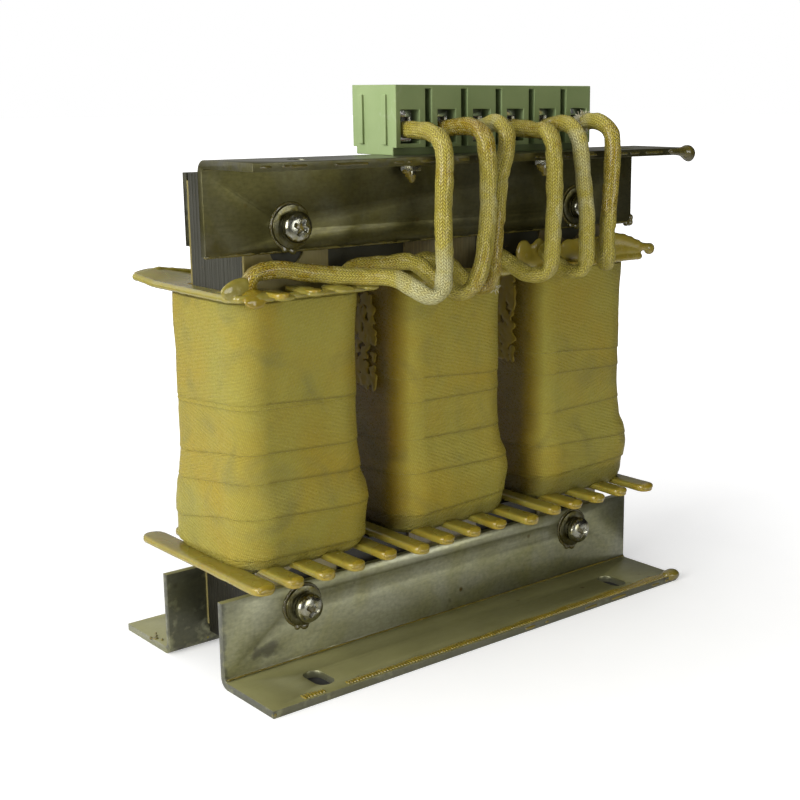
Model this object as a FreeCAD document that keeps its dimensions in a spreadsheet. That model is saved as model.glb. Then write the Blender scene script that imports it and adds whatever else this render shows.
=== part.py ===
import FreeCAD, Part
import math
import os
import Sketcher

# Three-phase line reactor: a three-legged laminated core clamped between sheet-metal brackets,
# a taped coil on each leg, and six sleeved leads that run up to a terminal block.
# +X runs along the brackets, +Y points away from the terminal side, +Z is up,
# and the origin is on the floor under the middle of the core.

# All lengths below are in millimetres.

# Core: legs and windows give its width, yokes and window height give its height
leg_width = 25.0
window_width = 25.0
window_height = 75.0
yoke_height = 25.0
stack_depth = 25.0
air_gap = 1.0
core_lift = 4.5

# Brackets
bracket_length = 148.4
web_height = 23.2
flange_reach = 22.8
sheet_thickness = 2.0
bend_radius = 1.0
rear_bar_height = 19.0
slot_width = 5.4
slot_length = 10.0
slot_inset = 19.7
slot_reach = 13.4

# Insulating strips between the core and the brackets
strip_thickness = 0.8
strip_end_margin = 2.0
notch_width = 10.4
notch_drop = 5.2

# Clamp screws through the yokes
bolt_inset = 12.5
bolt_diameter = 4.0
bolt_hole_clearance = 0.4
bolt_length = 40.0
bolt_head_diameter = 8.0
bolt_head_height = 3.1
washer_diameter = 11.0
washer_thickness = 1.0
spring_washer_diameter = 7.6
spring_washer_thickness = 1.1
nut_across_flats = 7.0
nut_height = 3.2
thread_clearance = 0.05

# Coils
former_clearance = 0.4
former_wall = 1.0
winding_side_build = 4.4
winding_face_build = 4.6
tape_thickness = 1.2
coil_corner_radius = 8.0
coil_bulge = 1.2
coil_waist = 0.3
coil_edge_round = 2.4

# Spacer sticks and top plates
stick_thickness = 2.2
stick_width = 5.2
stick_pitch = 9.6
stick_front_reach = 33.0
stick_rear_reach = 29.0
top_stick_thickness = 1.4
top_stick_width = 4.0
top_stick_clearance = 0.15
top_stick_reach = 27.0
coil_top_margin = 4.3
plate_thickness = 0.6
plate_overhang = 2.5
plate_front_reach = 22.0
plate_rear_reach = 28.0
plate_clearance = 0.6

# Terminal block
pole_pitch = 12.0
block_offset = 9.2
block_front_setback = 11.1
block_depth = 18.5
block_height = 15.6
base_height = 1.9
base_setback = 1.5
entry_width = 6.1
entry_height = 8.5
entry_sill = 1.0
end_wall = 1.5
groove_width = 2.1
groove_depth = 4.2
groove_lip = 0.9
rib_width = 1.6
rib_height = 0.7
rib_margin = 2.4
rib_inset = 3.5
screw_well_diameter = 4.6
cage_length = 12.5
cage_wall = 0.7
cage_roof = 1.8
cage_clearance = 0.1
clamp_screw_diameter = 3.0
clamp_screw_spread = 6.5
clamp_head_diameter = 4.2
clamp_head_height = 2.2
clamp_neck = 4.2
open_clamp_lift = 1.5
mount_screw_diameter = 3.0
mount_screw_length = 18.0
mount_head_diameter = 5.5
mount_head_height = 2.0
mount_well_floor = 12.2
mount_screw_reach = 3.7
mount_nut_flats = 5.5
mount_nut_height = 2.4

# Leads
wire_diameter = 2.8
sleeve_diameter = 4.5
sleeve_clearance = 0.1
lead_exit_offset = 14.0
lead_hang_gap = 4.2
wire_in_winding = 1.5
wire_height_in_entry = 3.5
clamp_reach = 7.0

# Each length above is a driving dimension and gets a row of its own in the sheet
driving = {
    "leg_width": leg_width, "window_width": window_width, "window_height": window_height,
    "yoke_height": yoke_height, "stack_depth": stack_depth, "air_gap": air_gap, "core_lift": core_lift,
    "bracket_length": bracket_length, "web_height": web_height, "flange_reach": flange_reach,
    "sheet_thickness": sheet_thickness, "bend_radius": bend_radius, "rear_bar_height": rear_bar_height,
    "slot_width": slot_width, "slot_length": slot_length, "slot_inset": slot_inset,
    "slot_reach": slot_reach, "strip_thickness": strip_thickness, "strip_end_margin": strip_end_margin,
    "notch_width": notch_width, "notch_drop": notch_drop, "bolt_inset": bolt_inset,
    "bolt_diameter": bolt_diameter, "bolt_hole_clearance": bolt_hole_clearance,
    "bolt_length": bolt_length, "bolt_head_diameter": bolt_head_diameter,
    "bolt_head_height": bolt_head_height, "washer_diameter": washer_diameter,
    "washer_thickness": washer_thickness, "spring_washer_diameter": spring_washer_diameter,
    "spring_washer_thickness": spring_washer_thickness, "nut_across_flats": nut_across_flats,
    "nut_height": nut_height, "thread_clearance": thread_clearance,
    "former_clearance": former_clearance, "former_wall": former_wall,
    "winding_side_build": winding_side_build, "winding_face_build": winding_face_build,
    "tape_thickness": tape_thickness, "coil_corner_radius": coil_corner_radius,
    "coil_bulge": coil_bulge, "coil_waist": coil_waist, "coil_edge_round": coil_edge_round,
    "stick_thickness": stick_thickness, "stick_width": stick_width, "stick_pitch": stick_pitch,
    "stick_front_reach": stick_front_reach, "stick_rear_reach": stick_rear_reach,
    "top_stick_thickness": top_stick_thickness, "top_stick_width": top_stick_width,
    "top_stick_clearance": top_stick_clearance, "top_stick_reach": top_stick_reach,
    "coil_top_margin": coil_top_margin,
    "plate_thickness": plate_thickness, "plate_overhang": plate_overhang,
    "plate_front_reach": plate_front_reach, "plate_rear_reach": plate_rear_reach,
    "plate_clearance": plate_clearance, "pole_pitch": pole_pitch, "block_offset": block_offset,
    "block_front_setback": block_front_setback, "block_depth": block_depth,
    "block_height": block_height, "base_height": base_height, "base_setback": base_setback,
    "entry_width": entry_width, "entry_height": entry_height, "entry_sill": entry_sill,
    "end_wall": end_wall, "groove_width": groove_width, "groove_depth": groove_depth,
    "groove_lip": groove_lip, "rib_width": rib_width, "rib_height": rib_height,
    "rib_margin": rib_margin, "rib_inset": rib_inset, "screw_well_diameter": screw_well_diameter,
    "cage_length": cage_length, "cage_wall": cage_wall, "cage_roof": cage_roof,
    "cage_clearance": cage_clearance, "clamp_screw_diameter": clamp_screw_diameter,
    "clamp_screw_spread": clamp_screw_spread, "clamp_head_diameter": clamp_head_diameter,
    "clamp_head_height": clamp_head_height, "clamp_neck": clamp_neck,
    "open_clamp_lift": open_clamp_lift, "mount_screw_diameter": mount_screw_diameter,
    "mount_screw_length": mount_screw_length, "mount_head_diameter": mount_head_diameter,
    "mount_head_height": mount_head_height, "mount_well_floor": mount_well_floor,
    "mount_screw_reach": mount_screw_reach, "mount_nut_flats": mount_nut_flats,
    "mount_nut_height": mount_nut_height, "wire_diameter": wire_diameter,
    "sleeve_diameter": sleeve_diameter, "sleeve_clearance": sleeve_clearance,
    "lead_exit_offset": lead_exit_offset, "lead_hang_gap": lead_hang_gap,
    "wire_in_winding": wire_in_winding, "wire_height_in_entry": wire_height_in_entry,
    "clamp_reach": clamp_reach,
}

os.makedirs("parts", exist_ok=True)
doc = FreeCAD.newDocument("motor_reactor")
sheet = doc.addObject("Spreadsheet::Sheet", "sizes")
for row, (name, value) in enumerate(driving.items(), start=1):
    sheet.set("A%d" % row, name)
    sheet.set("B%d" % row, str(value))
    sheet.setAlias("B%d" % row, name)
doc.recompute()

Vector = FreeCAD.Vector
published = []


def number(expression):
    """Value of an expression in the sheet's dimensions."""
    return float(sheet.evalExpression(expression))


# Places worked out from the driving dimensions, as expressions
LEG = "sizes.leg_width"
CORE_HALF = "(1.5 * sizes.leg_width + sizes.window_width)"
COIL_PITCH = "(sizes.leg_width + sizes.window_width)"
STACK_HALF = "(sizes.stack_depth / 2)"
CORE_BOTTOM = "sizes.core_lift"
YOKE_TOP = "(sizes.core_lift + sizes.yoke_height)"
UPPER_YOKE_BOTTOM = "(sizes.core_lift + sizes.yoke_height + sizes.window_height)"
CORE_TOP = "(sizes.core_lift + 2 * sizes.yoke_height + sizes.window_height)"
TOTAL_HEIGHT = "(2 * sizes.core_lift + 2 * sizes.yoke_height + sizes.window_height)"
STRIP_FACE = "(sizes.stack_depth / 2 + sizes.strip_thickness)"
WEB_FACE = "(sizes.stack_depth / 2 + sizes.strip_thickness + sizes.sheet_thickness)"
FLANGE_TIP = "(sizes.stack_depth / 2 + sizes.strip_thickness + sizes.sheet_thickness + sizes.flange_reach)"
BRACKET_HALF = "(sizes.bracket_length / 2)"
BOLT_X = "(1.5 * sizes.leg_width + sizes.window_width - sizes.bolt_inset)"
LOWER_BOLT_Z = "(sizes.core_lift + sizes.bolt_inset)"
UPPER_BOLT_Z = "(sizes.core_lift + 2 * sizes.yoke_height + sizes.window_height - sizes.bolt_inset)"
BOLT_HOLE = "(sizes.bolt_diameter / 2 + sizes.bolt_hole_clearance)"


def box(name, x_low, x_high, y_low, y_high, z_low, z_high):
    """Block between six planes, each given as an expression."""
    solid = doc.addObject("Part::Box", name)
    solid.setExpression("Length", "(%s) - (%s)" % (x_high, x_low))
    solid.setExpression("Width", "(%s) - (%s)" % (y_high, y_low))
    solid.setExpression("Height", "(%s) - (%s)" % (z_high, z_low))
    solid.setExpression("Placement.Base.x", x_low)
    solid.setExpression("Placement.Base.y", y_low)
    solid.setExpression("Placement.Base.z", z_low)
    return solid


def upright_rod(name, radius, x, y, z_low, z_high):
    """Round rod along Z."""
    solid = doc.addObject("Part::Cylinder", name)
    solid.setExpression("Radius", radius)
    solid.setExpression("Height", "(%s) - (%s)" % (z_high, z_low))
    solid.setExpression("Placement.Base.x", x)
    solid.setExpression("Placement.Base.y", y)
    solid.setExpression("Placement.Base.z", z_low)
    return solid


def level_rod(name, radius, x, z, y_low, y_high):
    """Round rod along Y."""
    solid = doc.addObject("Part::Cylinder", name)
    solid.Placement = FreeCAD.Placement(Vector(0, 0, 0), FreeCAD.Rotation(Vector(1, 0, 0), -90))
    solid.setExpression("Radius", radius)
    solid.setExpression("Height", "(%s) - (%s)" % (y_high, y_low))
    solid.setExpression("Placement.Base.x", x)
    solid.setExpression("Placement.Base.y", y_low)
    solid.setExpression("Placement.Base.z", z)
    return solid


def hex_prism(name, across_flats, height, turn):
    """Six-sided prism standing on its end, turned about its own axis."""
    solid = doc.addObject("Part::Prism", name)
    solid.Polygon = 6
    solid.setExpression("Circumradius", "(%s) / sqrt(3)" % across_flats)
    solid.setExpression("Height", height)
    solid.Placement = FreeCAD.Placement(Vector(0, 0, 0), turn)
    return solid


def place(solid, x, y, z):
    """Tie the position of a solid to expressions."""
    solid.setExpression("Placement.Base.x", x)
    solid.setExpression("Placement.Base.y", y)
    solid.setExpression("Placement.Base.z", z)


def joined(name, solids):
    """One solid, or one group of separate solids, from several."""
    union = doc.addObject("Part::MultiFuse", name)
    union.Shapes = solids
    return union


def cut(name, base, tool):
    """Base with the tool taken away."""
    result = doc.addObject("Part::Cut", name)
    result.Base = base
    result.Tool = tool
    return result


def publish(solid, label):
    """Give a finished sub-part its own label, which names its file."""
    solid.Label = label
    published.append(solid)


def origin_plane(body, role):
    """Origin plane of a body, such as XY_Plane."""
    for feature in body.Origin.OriginFeatures:
        if feature.Role == role:
            return feature
    raise ValueError(role)


def outline(body, name, plane, corners):
    """Closed outline of straight lines; each corner is tied to two expressions."""
    sketch = body.newObject("Sketcher::SketchObject", name)
    sketch.AttachmentSupport = [(origin_plane(body, plane), "")]
    sketch.MapMode = "FlatFace"
    places = [Vector(number(across), number(up), 0) for across, up in corners]
    count = len(corners)
    for index in range(count):
        sketch.addGeometry(Part.LineSegment(places[index], places[(index + 1) % count]), False)
    for index in range(count):
        sketch.addConstraint(Sketcher.Constraint("Coincident", index, 2, (index + 1) % count, 1))
    for index, (across, up) in enumerate(corners):
        place_x = sketch.addConstraint(Sketcher.Constraint("DistanceX", -1, 1, index, 1, places[index].x))
        sketch.setExpression("Constraints[%d]" % place_x, across)
        place_y = sketch.addConstraint(Sketcher.Constraint("DistanceY", -1, 1, index, 1, places[index].y))
        sketch.setExpression("Constraints[%d]" % place_y, up)
    return sketch


def rounded_section(body, name, centre_x, half_x, half_y, radius, level):
    """Rounded rectangle on the floor plane, lifted to a level."""
    sketch = body.newObject("Sketcher::SketchObject", name)
    sketch.AttachmentSupport = [(origin_plane(body, "XY_Plane"), "")]
    sketch.MapMode = "FlatFace"
    sketch.setExpression("AttachmentOffset.Base.x", centre_x)
    sketch.setExpression("AttachmentOffset.Base.z", level)
    wide = number(half_x)
    deep = number(half_y)
    round_off = number(radius)
    ends = [
        (Vector(-wide + round_off, -deep, 0), Vector(wide - round_off, -deep, 0)),
        (Vector(wide, -deep + round_off, 0), Vector(wide, deep - round_off, 0)),
        (Vector(wide - round_off, deep, 0), Vector(-wide + round_off, deep, 0)),
        (Vector(-wide, deep - round_off, 0), Vector(-wide, -deep + round_off, 0)),
    ]
    corners = [(1, -1), (1, 1), (-1, 1), (-1, -1)]
    for start, end in ends:
        sketch.addGeometry(Part.LineSegment(start, end), False)
    for quarter, (side, front) in enumerate(corners):
        middle = Vector(side * (wide - round_off), front * (deep - round_off), 0)
        circle = Part.Circle(middle, Vector(0, 0, 1), round_off)
        begin = (quarter - 1) * math.pi / 2
        sketch.addGeometry(Part.ArcOfCircle(circle, begin, begin + math.pi / 2), False)
    for index in range(4):
        sketch.addConstraint(Sketcher.Constraint("Tangent", index, 2, 4 + index, 1))
        sketch.addConstraint(Sketcher.Constraint("Tangent", 4 + index, 2, (index + 1) % 4, 1))
        sketch.addConstraint(Sketcher.Constraint("Horizontal" if index % 2 == 0 else "Vertical", index))
    for index in range(1, 4):
        sketch.addConstraint(Sketcher.Constraint("Equal", 4, 4 + index))
    rules = [
        ("DistanceX", 1, 1, half_x, wide),
        ("DistanceX", 3, 1, "-" + half_x, -wide),
        ("DistanceY", 2, 1, half_y, deep),
        ("DistanceY", 0, 1, "-" + half_y, -deep),
    ]
    for kind, line, point, expression, value in rules:
        at = sketch.addConstraint(Sketcher.Constraint(kind, -1, 1, line, point, value))
        sketch.setExpression("Constraints[%d]" % at, expression)
    at = sketch.addConstraint(Sketcher.Constraint("Radius", 4, round_off))
    sketch.setExpression("Constraints[%d]" % at, radius)
    return sketch


def edges_along_x(shape, y, z):
    """Names of the straight edges that run along X at one height and depth."""
    names = []
    for index, edge in enumerate(shape.Edges):
        start = edge.Vertexes[0].Point
        end = edge.Vertexes[-1].Point
        lengthwise = abs(start.x - end.x) > 1 and abs(start.y - end.y) + abs(start.z - end.z) < 0.01
        if lengthwise and abs(start.y - y) < 0.01 and abs(start.z - z) < 0.01:
            names.append("Edge%d" % (index + 1))
    return names


def bend(body, name, y, z, radius):
    """Round one long edge of a folded sheet."""
    doc.recompute()
    unbent = body.Tip
    edges = edges_along_x(unbent.Shape, y, z)
    fold = body.newObject("PartDesign::Fillet", name)
    fold.Base = (unbent, edges)
    fold.setExpression("Radius", radius)
    body.Tip = fold


# Core: stamped sheets, held as stacks by varnish and the clamp screws
def bolt_holes(name, height):
    """Clearance rods for the two screws at one height, through core and brackets."""
    rods = []
    for side, sign in (("left", "-"), ("right", "")):
        rod_name = "%s_%s" % (name, side)
        rods.append(level_rod(rod_name, BOLT_HOLE, sign + BOLT_X, height, "-" + FLANGE_TIP, FLANGE_TIP))
    return joined(name, rods)


lower_holes = bolt_holes("lower_screw_holes", LOWER_BOLT_Z)
upper_holes = bolt_holes("upper_screw_holes", UPPER_BOLT_Z)
coil_names = ["left", "middle", "right"]
coil_centres = ["-" + COIL_PITCH, "0", COIL_PITCH]

lower_blank = box(
    "lower_yoke_blank", "-" + CORE_HALF, CORE_HALF, "-" + STACK_HALF, STACK_HALF, CORE_BOTTOM, YOKE_TOP
)
publish(cut("lower_yoke", lower_blank, lower_holes), "lower_yoke")

upper_blank = box(
    "upper_yoke_blank", "-" + CORE_HALF, CORE_HALF, "-" + STACK_HALF, STACK_HALF, UPPER_YOKE_BOTTOM, CORE_TOP
)
upper_blanks = [upper_blank]
shims = []
for coil, centre in zip(coil_names, coil_centres):
    left_side = "(%s - %s / 2)" % (centre, LEG)
    right_side = "(%s + %s / 2)" % (centre, LEG)
    leg_end = "(%s + sizes.air_gap)" % YOKE_TOP
    upper_blanks.append(
        box("leg_" + coil, left_side, right_side, "-" + STACK_HALF, STACK_HALF, leg_end, UPPER_YOKE_BOTTOM)
    )
    shim_name = "gap_shim_" + coil
    shims.append(box(shim_name, left_side, right_side, "-" + STACK_HALF, STACK_HALF, YOKE_TOP, leg_end))
publish(cut("upper_core", joined("upper_core_blank", upper_blanks), upper_holes), "upper_core")
publish(joined("gap_shims", shims), "gap_shims")


# Insulating strips: one on each face of each leg, from yoke to yoke
def strip(label, centre, front, notched):
    """Thin strip on one face of a leg, with a notch round each clamp screw."""
    low = STACK_HALF
    high = STRIP_FACE
    if front:
        low = "-" + STRIP_FACE
        high = "-" + STACK_HALF
    bottom = "(%s + sizes.strip_end_margin)" % CORE_BOTTOM
    top = "(%s - sizes.strip_end_margin)" % CORE_TOP
    left_side = "(%s - %s / 2)" % (centre, LEG)
    right_side = "(%s + %s / 2)" % (centre, LEG)
    blank = box(label + "_blank", left_side, right_side, low, high, bottom, top)
    if not notched:
        publish(blank, label)
        return
    bolt_x = BOLT_X if notched == "right" else "-" + BOLT_X
    notch_left = "(%s - sizes.notch_width / 2)" % bolt_x
    notch_right = "(%s + sizes.notch_width / 2)" % bolt_x
    lower_round = "(%s + sizes.notch_drop)" % LOWER_BOLT_Z
    upper_round = "(%s - sizes.notch_drop)" % UPPER_BOLT_Z
    radius = "sizes.notch_width / 2"
    tools = [
        level_rod(label + "_lower_round", radius, bolt_x, lower_round, low, high),
        level_rod(label + "_upper_round", radius, bolt_x, upper_round, low, high),
        box(label + "_lower_notch", notch_left, notch_right, low, high, CORE_BOTTOM, lower_round),
        box(label + "_upper_notch", notch_left, notch_right, low, high, upper_round, CORE_TOP),
    ]
    publish(cut(label + "_cut", blank, joined(label + "_notches", tools)), label)


for coil, centre in zip(coil_names, coil_centres):
    notched_side = "" if coil == "middle" else coil
    strip("strip_front_" + coil, centre, True, notched_side)
    strip("strip_rear_" + coil, centre, False, notched_side)


# Brackets: folded sheet, each a web against the yoke and a flange turned outwards
def bracket_body(name, side, foot):
    """Folded angle; side is -1 in front and 1 behind, foot is True where the flange is at the floor."""
    body = doc.addObject("PartDesign::Body", name)
    sign = "" if side > 0 else "-"
    inner = "%s%s" % (sign, STRIP_FACE)
    face = "%s%s" % (sign, WEB_FACE)
    tip = "%s%s" % (sign, FLANGE_TIP)
    if foot:
        seat = "0"
        sheet_level = "sizes.sheet_thickness"
        web_end = "sizes.web_height"
    else:
        seat = TOTAL_HEIGHT
        sheet_level = "(%s - sizes.sheet_thickness)" % TOTAL_HEIGHT
        web_end = "(%s - sizes.web_height)" % TOTAL_HEIGHT
    flange = [(inner, seat), (tip, seat), (tip, sheet_level), (face, sheet_level)]
    corners = flange + [(face, web_end), (inner, web_end)]
    profile = outline(body, name + "_profile", "YZ_Plane", corners)
    pad = body.newObject("PartDesign::Pad", name + "_sheet")
    pad.Profile = profile
    pad.Midplane = True
    pad.setExpression("Length", "sizes.bracket_length")
    bend(body, name + "_inner_bend", number(face), number(sheet_level), "sizes.bend_radius")
    outer_radius = "sizes.bend_radius + sizes.sheet_thickness"
    bend(body, name + "_outer_bend", number(inner), number(seat), outer_radius)
    return body


def slot_tools(name, side, low, high):
    """Slots across the flange, one near each end."""
    tools = []
    middle = "%s(%s + sizes.slot_reach)" % ("" if side > 0 else "-", WEB_FACE)
    straight = "(sizes.slot_length - sizes.slot_width) / 2"
    for place_name, sign in (("left", "-"), ("right", "")):
        x = "%s(%s - sizes.slot_inset)" % (sign, BRACKET_HALF)
        tag = "%s_slot_%s" % (name, place_name)
        near = "(%s - %s)" % (middle, straight)
        far = "(%s + %s)" % (middle, straight)
        tools.append(upright_rod(tag + "_near", "sizes.slot_width / 2", x, near, low, high))
        tools.append(upright_rod(tag + "_far", "sizes.slot_width / 2", x, far, low, high))
        x_low = "(%s - sizes.slot_width / 2)" % x
        x_high = "(%s + sizes.slot_width / 2)" % x
        tools.append(box(tag + "_middle", x_low, x_high, near, far, low, high))
    return tools


for label, side in (("bottom_front_bracket", -1), ("bottom_rear_bracket", 1)):
    slots = slot_tools(label, side, "-sizes.sheet_thickness", "2 * sizes.sheet_thickness")
    tools = joined(label + "_openings", slots + [lower_holes])
    publish(cut(label + "_cut", bracket_body(label + "_angle", side, True), tools), label)

rear_bar_blank = box(
    "rear_bar_blank", "-" + CORE_HALF, CORE_HALF, STRIP_FACE, WEB_FACE,
    "(%s - sizes.rear_bar_height)" % CORE_TOP, CORE_TOP
)
publish(cut("rear_bar", rear_bar_blank, upper_holes), "top_rear_bar")

# The top bracket also carries the terminal block, on two screws at its outermost grooves
MOUNT_SPREAD = "(2 * sizes.pole_pitch)"
MOUNT_LEFT = "(sizes.block_offset - %s)" % MOUNT_SPREAD
MOUNT_RIGHT = "(sizes.block_offset + %s)" % MOUNT_SPREAD
MOUNT_Y = "(-%s - sizes.mount_screw_reach)" % WEB_FACE
UNDER_FLANGE = "(%s - sizes.sheet_thickness)" % TOTAL_HEIGHT
MOUNT_HOLE = "(sizes.mount_screw_diameter / 2 + sizes.bolt_hole_clearance / 2)"


def mount_rods(name, radius, low, high):
    """Pair of upright rods at the two fixing points of the terminal block."""
    left = upright_rod(name + "_left", radius, MOUNT_LEFT, MOUNT_Y, low, high)
    right = upright_rod(name + "_right", radius, MOUNT_RIGHT, MOUNT_Y, low, high)
    return [left, right]


OVER_BRACKET = "(%s + sizes.sheet_thickness)" % TOTAL_HEIGHT
BELOW_FLANGE = "(%s - 2 * sizes.sheet_thickness)" % TOTAL_HEIGHT
top_slots = slot_tools("top_front_bracket", -1, BELOW_FLANGE, OVER_BRACKET)
top_fixings = mount_rods("top_bracket_hole", MOUNT_HOLE, BELOW_FLANGE, OVER_BRACKET)
top_tools = joined("top_front_bracket_openings", top_slots + top_fixings + [upper_holes])
top_angle = bracket_body("top_front_bracket_angle", -1, False)
publish(cut("top_front_bracket_cut", top_angle, top_tools), "top_front_bracket")


# Clamp screws: pan head, spring washer and flat washer in front, washer and nut behind
HEAD_WASHER = "(%s + sizes.washer_thickness)" % WEB_FACE
HEAD_SPRING = "(%s + sizes.spring_washer_thickness)" % HEAD_WASHER
THREAD = "(sizes.bolt_diameter / 2)"
THREAD_BORE = "(sizes.bolt_diameter / 2 + sizes.thread_clearance)"


def ring(name, outer, inner, x, z, low, high):
    """Washer-like ring about an axis along Y."""
    disc = level_rod(name + "_disc", outer, x, z, low, high)
    bore = level_rod(name + "_bore", inner, x, z, low, high)
    return cut(name, disc, bore)


screws = []
flat_washers = []
spring_washers = []
rear_washers = []
nuts = []
for x_name, x_sign in (("left", "-"), ("right", "")):
    for z_name, z_place in (("lower", LOWER_BOLT_Z), ("upper", UPPER_BOLT_Z)):
        tag = "%s_%s" % (z_name, x_name)
        x_place = x_sign + BOLT_X
        head_under = "-" + HEAD_SPRING
        head_top = "(-%s - sizes.bolt_head_height)" % HEAD_SPRING
        shank_end = "(sizes.bolt_length - %s)" % HEAD_SPRING
        head_radius = "sizes.bolt_head_diameter / 2"
        head = level_rod("head_" + tag, head_radius, x_place, z_place, head_top, head_under)
        shank = level_rod("shank_" + tag, THREAD, x_place, z_place, head_under, shank_end)
        screws.append(joined("screw_" + tag, [head, shank]))
        washer_outer = "sizes.washer_diameter / 2"
        front_face = "-" + HEAD_WASHER
        flat_washers.append(
            ring("washer_" + tag, washer_outer, BOLT_HOLE, x_place, z_place, front_face, "-" + WEB_FACE)
        )
        spring_outer = "sizes.spring_washer_diameter / 2"
        spring_washers.append(
            ring("spring_" + tag, spring_outer, BOLT_HOLE, x_place, z_place, head_under, "-" + HEAD_WASHER)
        )
        rear_washers.append(
            ring("rear_washer_" + tag, washer_outer, BOLT_HOLE, x_place, z_place, WEB_FACE, HEAD_WASHER)
        )
        facing = FreeCAD.Rotation(Vector(1, 0, 0), -90)
        hexagon = hex_prism("nut_blank_" + tag, "sizes.nut_across_flats", "sizes.nut_height", facing)
        place(hexagon, x_place, HEAD_WASHER, z_place)
        nut_end = "(%s + sizes.nut_height)" % HEAD_WASHER
        nut_bore = level_rod("nut_bore_" + tag, THREAD_BORE, x_place, z_place, HEAD_WASHER, nut_end)
        nuts.append(cut("nut_" + tag, hexagon, nut_bore))
publish(joined("clamp_screws_all", screws), "clamp_screws")
publish(joined("flat_washers_all", flat_washers), "front_washers")
publish(joined("spring_washers_all", spring_washers), "spring_washers")
publish(joined("rear_washers_all", rear_washers), "rear_washers")
publish(joined("nuts_all", nuts), "clamp_nuts")


# Spacer sticks: flat bars with round ends, between the lower yoke and the coils
STICK_TOP = "(%s + sizes.stick_thickness)" % YOKE_TOP


def stick(name, x, width, y_low, y_high, z_low, z_high):
    """Flat bar along Y with round ends."""
    radius = "(%s / 2)" % width
    near = "(%s + %s)" % (y_low, radius)
    far = "(%s - %s)" % (y_high, radius)
    return joined(name, [
        box(name + "_bar", "(%s - %s)" % (x, radius), "(%s + %s)" % (x, radius), near, far, z_low, z_high),
        upright_rod(name + "_near_end", radius, x, near, z_low, z_high),
        upright_rod(name + "_far_end", radius, x, far, z_low, z_high),
    ])


def bottom_stick(name, x, y_low, y_high):
    """Spacer stick that lies on the lower yoke."""
    return stick(name, x, "sizes.stick_width", y_low, y_high, YOKE_TOP, STICK_TOP)


CLEAR_OF_STRIP = "(%s + sizes.former_clearance)" % STRIP_FACE
for coil, centre in zip(coil_names, coil_centres):
    bars = []
    for index in range(-2, 3):
        x = "(%s + %d * sizes.stick_pitch)" % (centre, index)
        tag = "bottom_stick_%s_%d" % (coil, index + 3)
        front_end = "-sizes.stick_front_reach"
        if abs(index) == 2:
            bars.append(bottom_stick(tag, x, front_end, "sizes.stick_rear_reach"))
            continue
        bars.append(bottom_stick(tag + "_front", x, front_end, "-" + CLEAR_OF_STRIP))
        bars.append(bottom_stick(tag + "_rear", x, CLEAR_OF_STRIP, "sizes.stick_rear_reach"))
    publish(joined("bottom_sticks_%s_all" % coil, bars), "bottom_sticks_" + coil)


# Coils: a former tube on each leg, a wound pack round it and glass tape round the pack
FORMER_IN_X = "(sizes.leg_width / 2 + sizes.former_clearance)"
FORMER_IN_Y = CLEAR_OF_STRIP
FORMER_OUT_X = "(%s + sizes.former_wall)" % FORMER_IN_X
FORMER_OUT_Y = "(%s + sizes.former_wall)" % FORMER_IN_Y
PACK_X = "(%s + sizes.winding_side_build)" % FORMER_OUT_X
PACK_Y = "(%s + sizes.winding_face_build)" % FORMER_OUT_Y
COIL_X = "(%s + sizes.tape_thickness)" % PACK_X
COIL_Y = "(%s + sizes.tape_thickness)" % PACK_Y
COIL_BOTTOM = STICK_TOP
COIL_TOP = "(%s - sizes.coil_top_margin)" % UPPER_YOKE_BOTTOM
COIL_HEIGHT = "(%s - %s)" % (COIL_TOP, COIL_BOTTOM)
PACK_BOTTOM = "(%s + sizes.tape_thickness)" % COIL_BOTTOM
PACK_TOP = "(%s - sizes.tape_thickness)" % COIL_TOP
PACK_CORNER = "(sizes.coil_corner_radius - sizes.tape_thickness)"
PLATE_TOP = "(%s + sizes.plate_thickness)" % COIL_TOP
WIRE = "(sizes.wire_diameter / 2)"
WIRE_HOLE = "(sizes.wire_diameter / 2 + sizes.sleeve_clearance)"
LEAD_EXIT_Y = "(-%s - sizes.winding_face_build / 2)" % FORMER_OUT_Y
BESIDE_SLEEVE = "(sizes.sleeve_diameter / 2 + sizes.top_stick_width / 2 + sizes.top_stick_clearance)"
TOP_STICK_STEP = "(sizes.lead_exit_offset - %s)" % BESIDE_SLEEVE

# The taped outside: how far each level swells beyond the plain coil, from the bottom up
swell_levels = [
    ("0", "-sizes.coil_edge_round"),
    ("sizes.coil_edge_round / 2", "-0.2 * sizes.coil_edge_round"),
    ("0.07 * %s" % COIL_HEIGHT, "0.75 * sizes.coil_bulge"),
    ("0.17 * %s" % COIL_HEIGHT, "sizes.coil_bulge"),
    ("0.28 * %s" % COIL_HEIGHT, "0.2 * sizes.coil_bulge"),
    ("0.40 * %s" % COIL_HEIGHT, "-sizes.coil_waist"),
    ("0.70 * %s" % COIL_HEIGHT, "-0.4 * sizes.coil_waist"),
    ("%s - sizes.coil_edge_round" % COIL_HEIGHT, "0"),
    (COIL_HEIGHT, "-0.6 * sizes.coil_edge_round"),
]


def taped_outside(coil, centre):
    """Outer form of a taped coil, lofted through rounded rectangles."""
    body = doc.addObject("PartDesign::Body", "taped_outside_" + coil)
    sections = []
    for index, (level, swell) in enumerate(swell_levels):
        half_x = "(%s + %s)" % (COIL_X, swell)
        half_y = "(%s + %s)" % (COIL_Y, swell)
        radius = "(sizes.coil_corner_radius + %s)" % swell
        height = "%s + %s" % (COIL_BOTTOM, level)
        sections.append(
            rounded_section(body, "tape_%s_level_%d" % (coil, index), centre, half_x, half_y, radius, height)
        )
    doc.recompute()
    loft = body.newObject("PartDesign::AdditiveLoft", "tape_%s_form" % coil)
    loft.Profile = sections[0]
    loft.Sections = sections[1:]
    body.Tip = loft
    return body


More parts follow.
